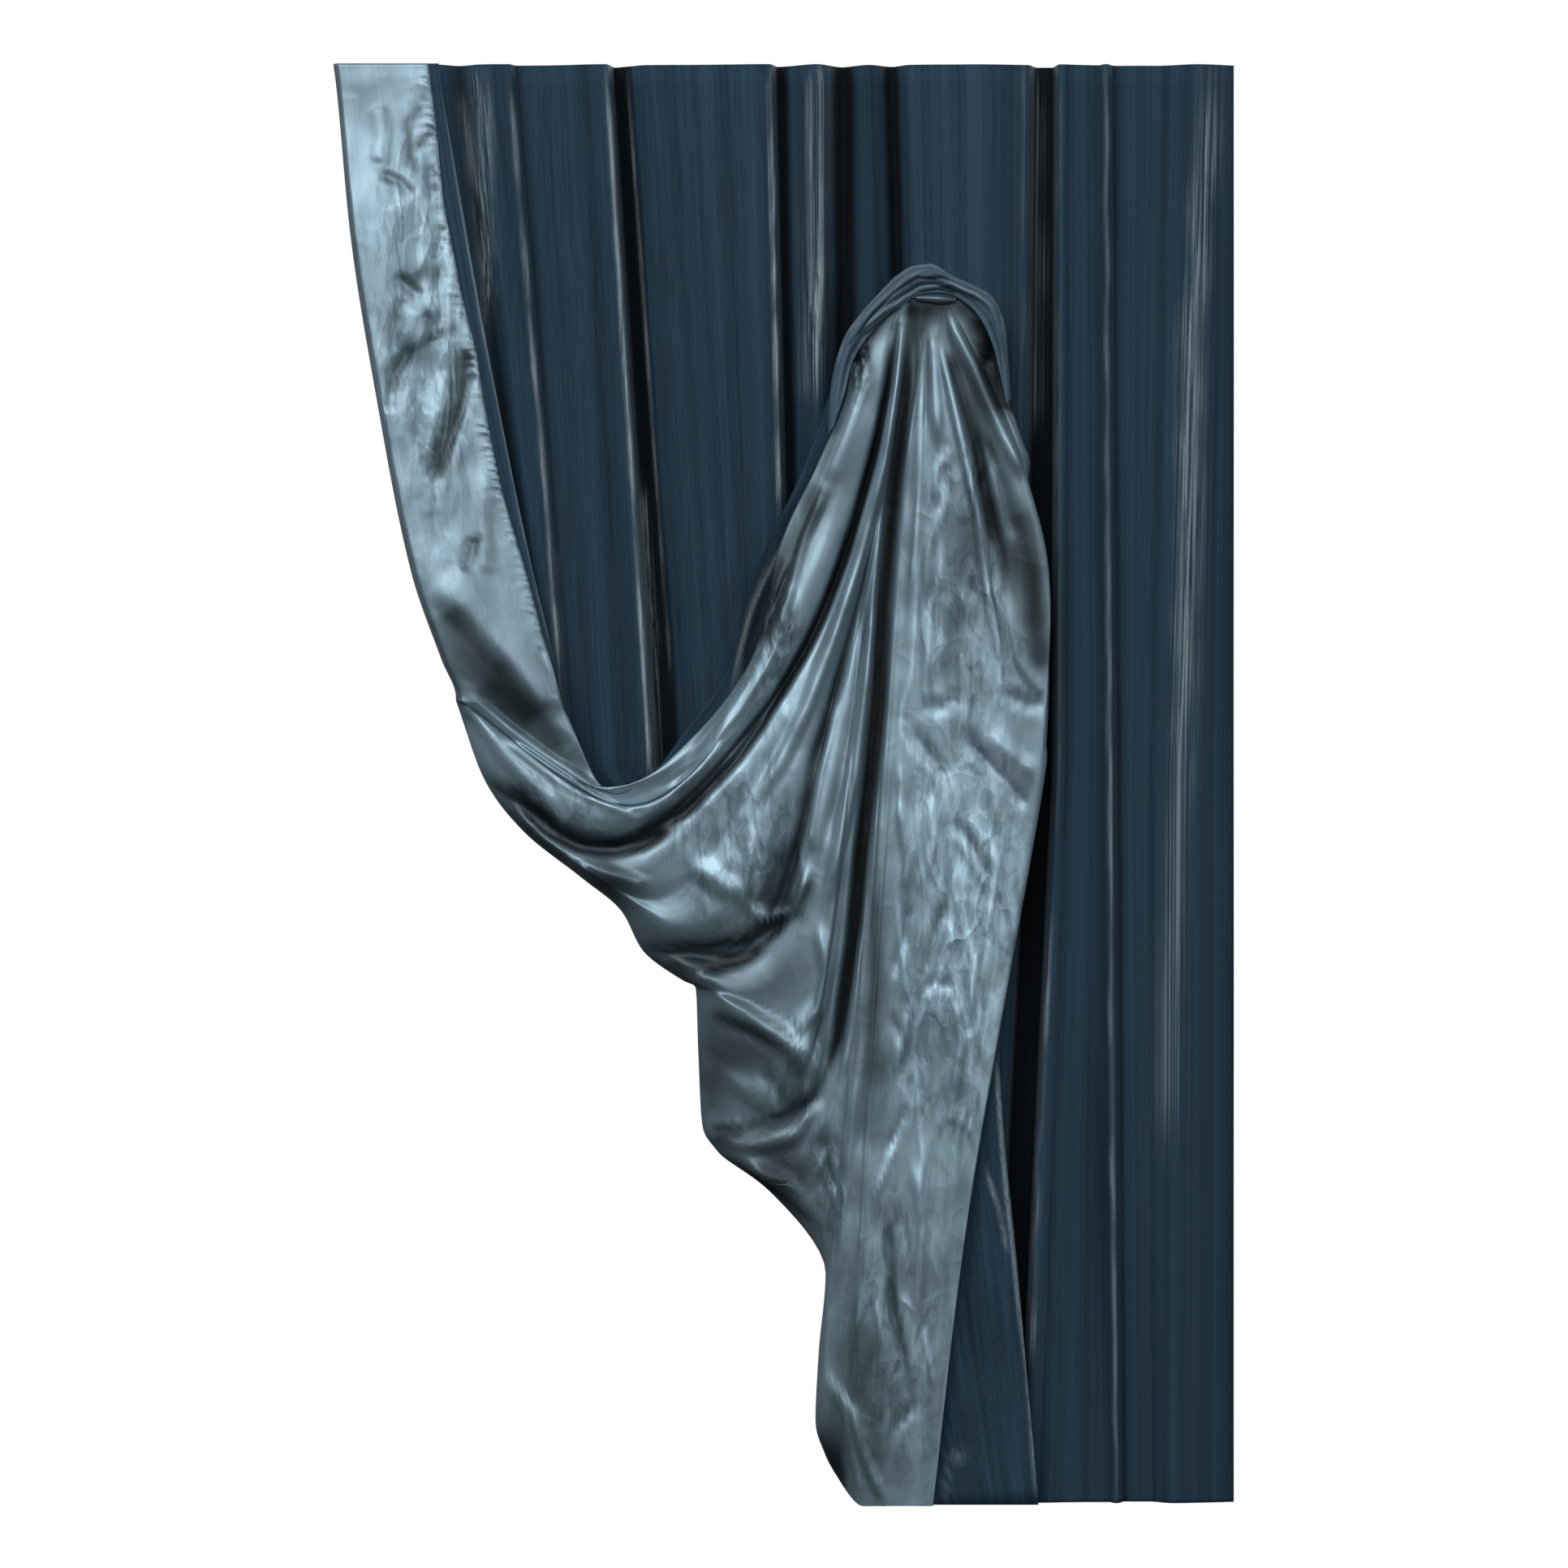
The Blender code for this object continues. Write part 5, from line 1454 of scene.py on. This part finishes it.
# %% [markdown]
# ### Noise of the cloth
#
# Noise that belongs to the weave or the pile has to follow the cloth round its folds, so it is read on the
# flat cloth's map. Creases and marbling come from crushing the hung cloth, whatever way its threads run,
# so they are read on the piece's own axes instead. Smooth noise has no sharp creases, but its distance
# from its own middle value has: it comes to a fine ridge wherever the noise crosses that value.

# %% Noise on the cloth and on the piece
def noise_at(tree, place, scale, detail, roughness, distortion):
    """Noise at a place, so many marks a metre each way."""
    sized = add_node(tree, "ShaderNodeMapping", {"Vector": place, "Scale": scale})
    made = add_node(tree, "ShaderNodeTexNoise", {"Vector": sized.outputs[0], "Scale": 1.0, "Detail": detail,
                                                 "Roughness": roughness, "Distortion": distortion})
    return made.outputs["Fac"]


def cloth_noise(tree, scale, detail=3.0, roughness=0.6, distortion=0.0):
    """Noise on the flat cloth's map, so many marks a metre across and along."""
    cloth_map = add_node(tree, "ShaderNodeUVMap", uv_map="cloth")
    return noise_at(tree, cloth_map.outputs[0], (scale[0], scale[1], 1.0), detail, roughness, distortion)


def creased_noise(tree, scale, distortion):
    """Noise with sharp little ridges, sized on the hanging piece itself: marks a metre in x, y and z."""
    place = add_node(tree, "ShaderNodeTexCoord").outputs["Object"]
    slopes = noise_at(tree, place, scale, 1.0, 0.35, distortion)
    folded = math_node(tree, "ABSOLUTE", math_node(tree, "SUBTRACT", slopes, 0.5))
    return between(tree, folded, 0.0, 0.22, 1.0, 0.0)


def patches_and_painted_glints(tree, scale, distortion):
    """Patches of two tones that differ at random and run into each other, with a narrow paler line where they
    meet that is a painted glint.
    """
    place = add_node(tree, "ShaderNodeTexCoord").outputs["Object"]
    patches = noise_at(tree, place, scale, 2.0, 0.45, distortion)
    from_rim = math_node(tree, "ABSOLUTE", math_node(tree, "SUBTRACT", patches, 0.5))
    line = between(tree, from_rim, 0.0, 0.030, 0.55, 0.0)
    return math_node(tree, "ADD", between(tree, patches, 0.42, 0.58, -0.45, 0.30), line)


noise_kinds = (cloth_noise, creased_noise, patches_and_painted_glints)
print("kinds of noise:", ", ".join(kind.__name__ for kind in noise_kinds))

# %% Velvet
# Colour of the velvet's painted shade.
VELVET_PAINTED_SHADE_COLOUR = (0.0012, 0.0018, 0.0026)    # deep between the pleats
VELVET_DEEP = (0.007, 0.018, 0.030)


def velvet_finish(name, deep, face, pale, streak_scale):
    """Silk velvet: upright streaks of pile, a pale sheen, painted shade in its hollows, and worn lines and
    streaks of painted sheen.
    """
    material, tree, shader = new_finish(name, {
        "Roughness": 0.85, "Specular IOR Level": 0.12, "Sheen Weight": 0.14, "Sheen Roughness": 0.30,
        "Sheen Tint": (0.50, 0.62, 0.74, 1.0)})
    threads = cloth_noise(tree, (380.0, 110.0), 5.0, 0.75)
    bars = cloth_noise(tree, streak_scale, 3.0, 0.55)
    cloudy = cloth_noise(tree, (9.0, 5.0), 3.0, 0.55)
    tone = math_node(tree, "ADD", between(tree, threads, 0.3, 0.7, -0.28, 0.28),
                     between(tree, bars, 0.3, 0.7, 0.2, 0.8))
    tone = math_node(tree, "ADD", tone, between(tree, cloudy, 0.3, 0.7, -0.15, 0.15))
    # Painted shade: the hollow mark darkens the colour.
    shade = math_node(tree, "MULTIPLY", mark(tree, "hollow"), 0.92)
    base = mixed(tree, shade, mixed(tree, tone, deep, face), VELVET_PAINTED_SHADE_COLOUR)
    specks = cloth_noise(tree, (300.0, 90.0), 6.0, 0.80)
    # Worn lines with painted sheen, and the streaks of painted sheen, lighten the colour towards the pale
    # one.
    worn_and_sheen_share = math_node(tree, "MULTIPLY", mark(tree, "worn_and_sheen"), between(tree, specks, 0.40, 0.56, 0.15, 1.0))
    painted_sheen_share = math_node(tree, "MULTIPLY", mark(tree, "painted_sheen"),
                              between(tree, specks, 0.46, 0.62, 0.0, 1.0))
    pale_share = math_node(tree, "MAXIMUM", worn_and_sheen_share, painted_sheen_share)
    tree.links.new(mixed(tree, pale_share, base, pale), shader.inputs["Base Color"])
    height = math_node(tree, "ADD", between(tree, threads, 0.3, 0.7), between(tree, specks, 0.3, 0.7))
    pile = add_node(tree, "ShaderNodeBump", {"Height": height, "Strength": 0.35, "Distance": 0.0006})
    tree.links.new(pile.outputs[0], shader.inputs["Normal"])
    return material


VELVET_FACE = (0.026, 0.059, 0.093)
# The pale colour serves both the worn pile and the painted sheen.
VELVET_PALE = (0.300, 0.370, 0.405)         # where the pile is worn
TIE_DEEP = (0.030, 0.058, 0.084)
TIE_FACE = (0.095, 0.152, 0.196)
TIE_PALE = (0.24, 0.29, 0.32)
velvet_material = velvet_finish("crushed_velvet", VELVET_DEEP, VELVET_FACE, VELVET_PALE, (60.0, 7.0))
tie_material = velvet_finish("tieback_velvet", TIE_DEEP, TIE_FACE, TIE_PALE, (40.0, 60.0))
velvet.data.materials.append(velvet_material)
tieback.data.materials.append(tie_material)
print("velvet finishes:", velvet_material.name, tie_material.name)

# %% Satin
# Colour of the satin's painted shade.
SATIN_PAINTED_SHADE_COLOUR = (0.008, 0.012, 0.016)


def satin_finish(name, shade, face):
    """Satin: a tinted gloss along the threads, with faint bars of colour and a fine weave; its colour takes
    painted shade from the hollow mark and painted light and shade from the tone mark.
    """
    material, tree, shader = new_finish(name, {
        "Roughness": 0.42, "Metallic": 0.58, "Specular IOR Level": 0.25, "Anisotropic": 0.35,
        "Sheen Weight": 0.02, "Sheen Roughness": 0.4})
    bars = cloth_noise(tree, (160.0, 4.0), 3.0, 0.6)
    cloudy = cloth_noise(tree, (14.0, 10.0), 3.0, 0.55)
    tone = math_node(tree, "ADD", between(tree, bars, 0.3, 0.7, -0.12, 0.12),
                     between(tree, cloudy, 0.3, 0.7, 0.3, 0.7))
    # Crushed satin looks marbled: patches of two tones at random, with a thin bright line round each that is
    # a painted glint.
    crushed = mark(tree, "crushed")
    tall_patches = patches_and_painted_glints(tree, (20.0, 20.0, 4.5), 1.6)
    small_patches = patches_and_painted_glints(tree, (34.0, 34.0, 16.0), 1.2)
    marbling_and_painted_glints = math_node(tree, "MULTIPLY", math_node(tree, "ADD", tall_patches, small_patches), crushed)
    tone = math_node(tree, "ADD", tone, marbling_and_painted_glints)
    # Painted shade: the hollow mark darkens the colour.
    in_painted_shade = math_node(tree, "MULTIPLY", mark(tree, "hollow"), 0.90)
    shaded = mixed(tree, in_painted_shade, mixed(tree, tone, shade, face), SATIN_PAINTED_SHADE_COLOUR)
    # Painted light and shade: the tone mark scales the colour, darker below 1 and lighter above.
    with_painted_light_and_shade = add_node(tree, "ShaderNodeVectorMath", {0: shaded, "Scale": mark(tree, "tone")},
                     operation="SCALE")
    tree.links.new(with_painted_light_and_shade.outputs[0], shader.inputs["Base Color"])
    gloss = between(tree, cloth_noise(tree, (700.0, 700.0), 2.0, 0.5), 0.3, 0.7, 0.38, 0.46)
    tree.links.new(gloss, shader.inputs["Roughness"])
    weave = cloth_noise(tree, (1500.0, 500.0), 2.0, 0.5)
    upright = creased_noise(tree, (26.0, 26.0, 8.0), 0.9)
    every_way = creased_noise(tree, (18.0, 18.0, 14.0), 0.7)
    soft_height = math_node(tree, "ADD", math_node(tree, "MULTIPLY", upright, crushed),
                            math_node(tree, "MULTIPLY", every_way, 0.25))
    fine = add_node(tree, "ShaderNodeBump", {"Height": weave, "Strength": 0.10, "Distance": 0.0003})
    soft = add_node(tree, "ShaderNodeBump", {"Height": soft_height, "Strength": 0.45, "Distance": 0.0030,
                                             "Normal": fine.outputs[0]})
    tree.links.new(soft.outputs[0], shader.inputs["Normal"])
    along = add_node(tree, "ShaderNodeTangent", direction_type="UV_MAP", uv_map="cloth")
    tree.links.new(along.outputs[0], shader.inputs["Tangent"])
    return material


SATIN_SHADE = (0.120, 0.180, 0.216)
SATIN_FACE = (0.240, 0.338, 0.398)
satin_material = satin_finish("silver_blue_satin", SATIN_SHADE, SATIN_FACE)
satin.data.materials.append(satin_material)
tuck.data.materials.append(satin_material)
print("satin finish:", satin_material.name)

# %% [markdown]
# ## Tie each piece to the model
#
# Each cloth stands for its solid: the solid is hidden, and the fine cloth is what is seen.

# %% Pieces and what they stand for
PIECES = [
    # piece, node, slot
    (velvet, "velvet_panel", "velvet"),
    (satin, "satin_lining", "satin"),
    (tuck, "satin_lining", "satin"),
    (tieback, "tieback", "tie_velvet"),
]
for piece, node, slot in PIECES:
    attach(piece, "root")
    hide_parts(node)
print(len(PIECES), "pieces ride on the one body")
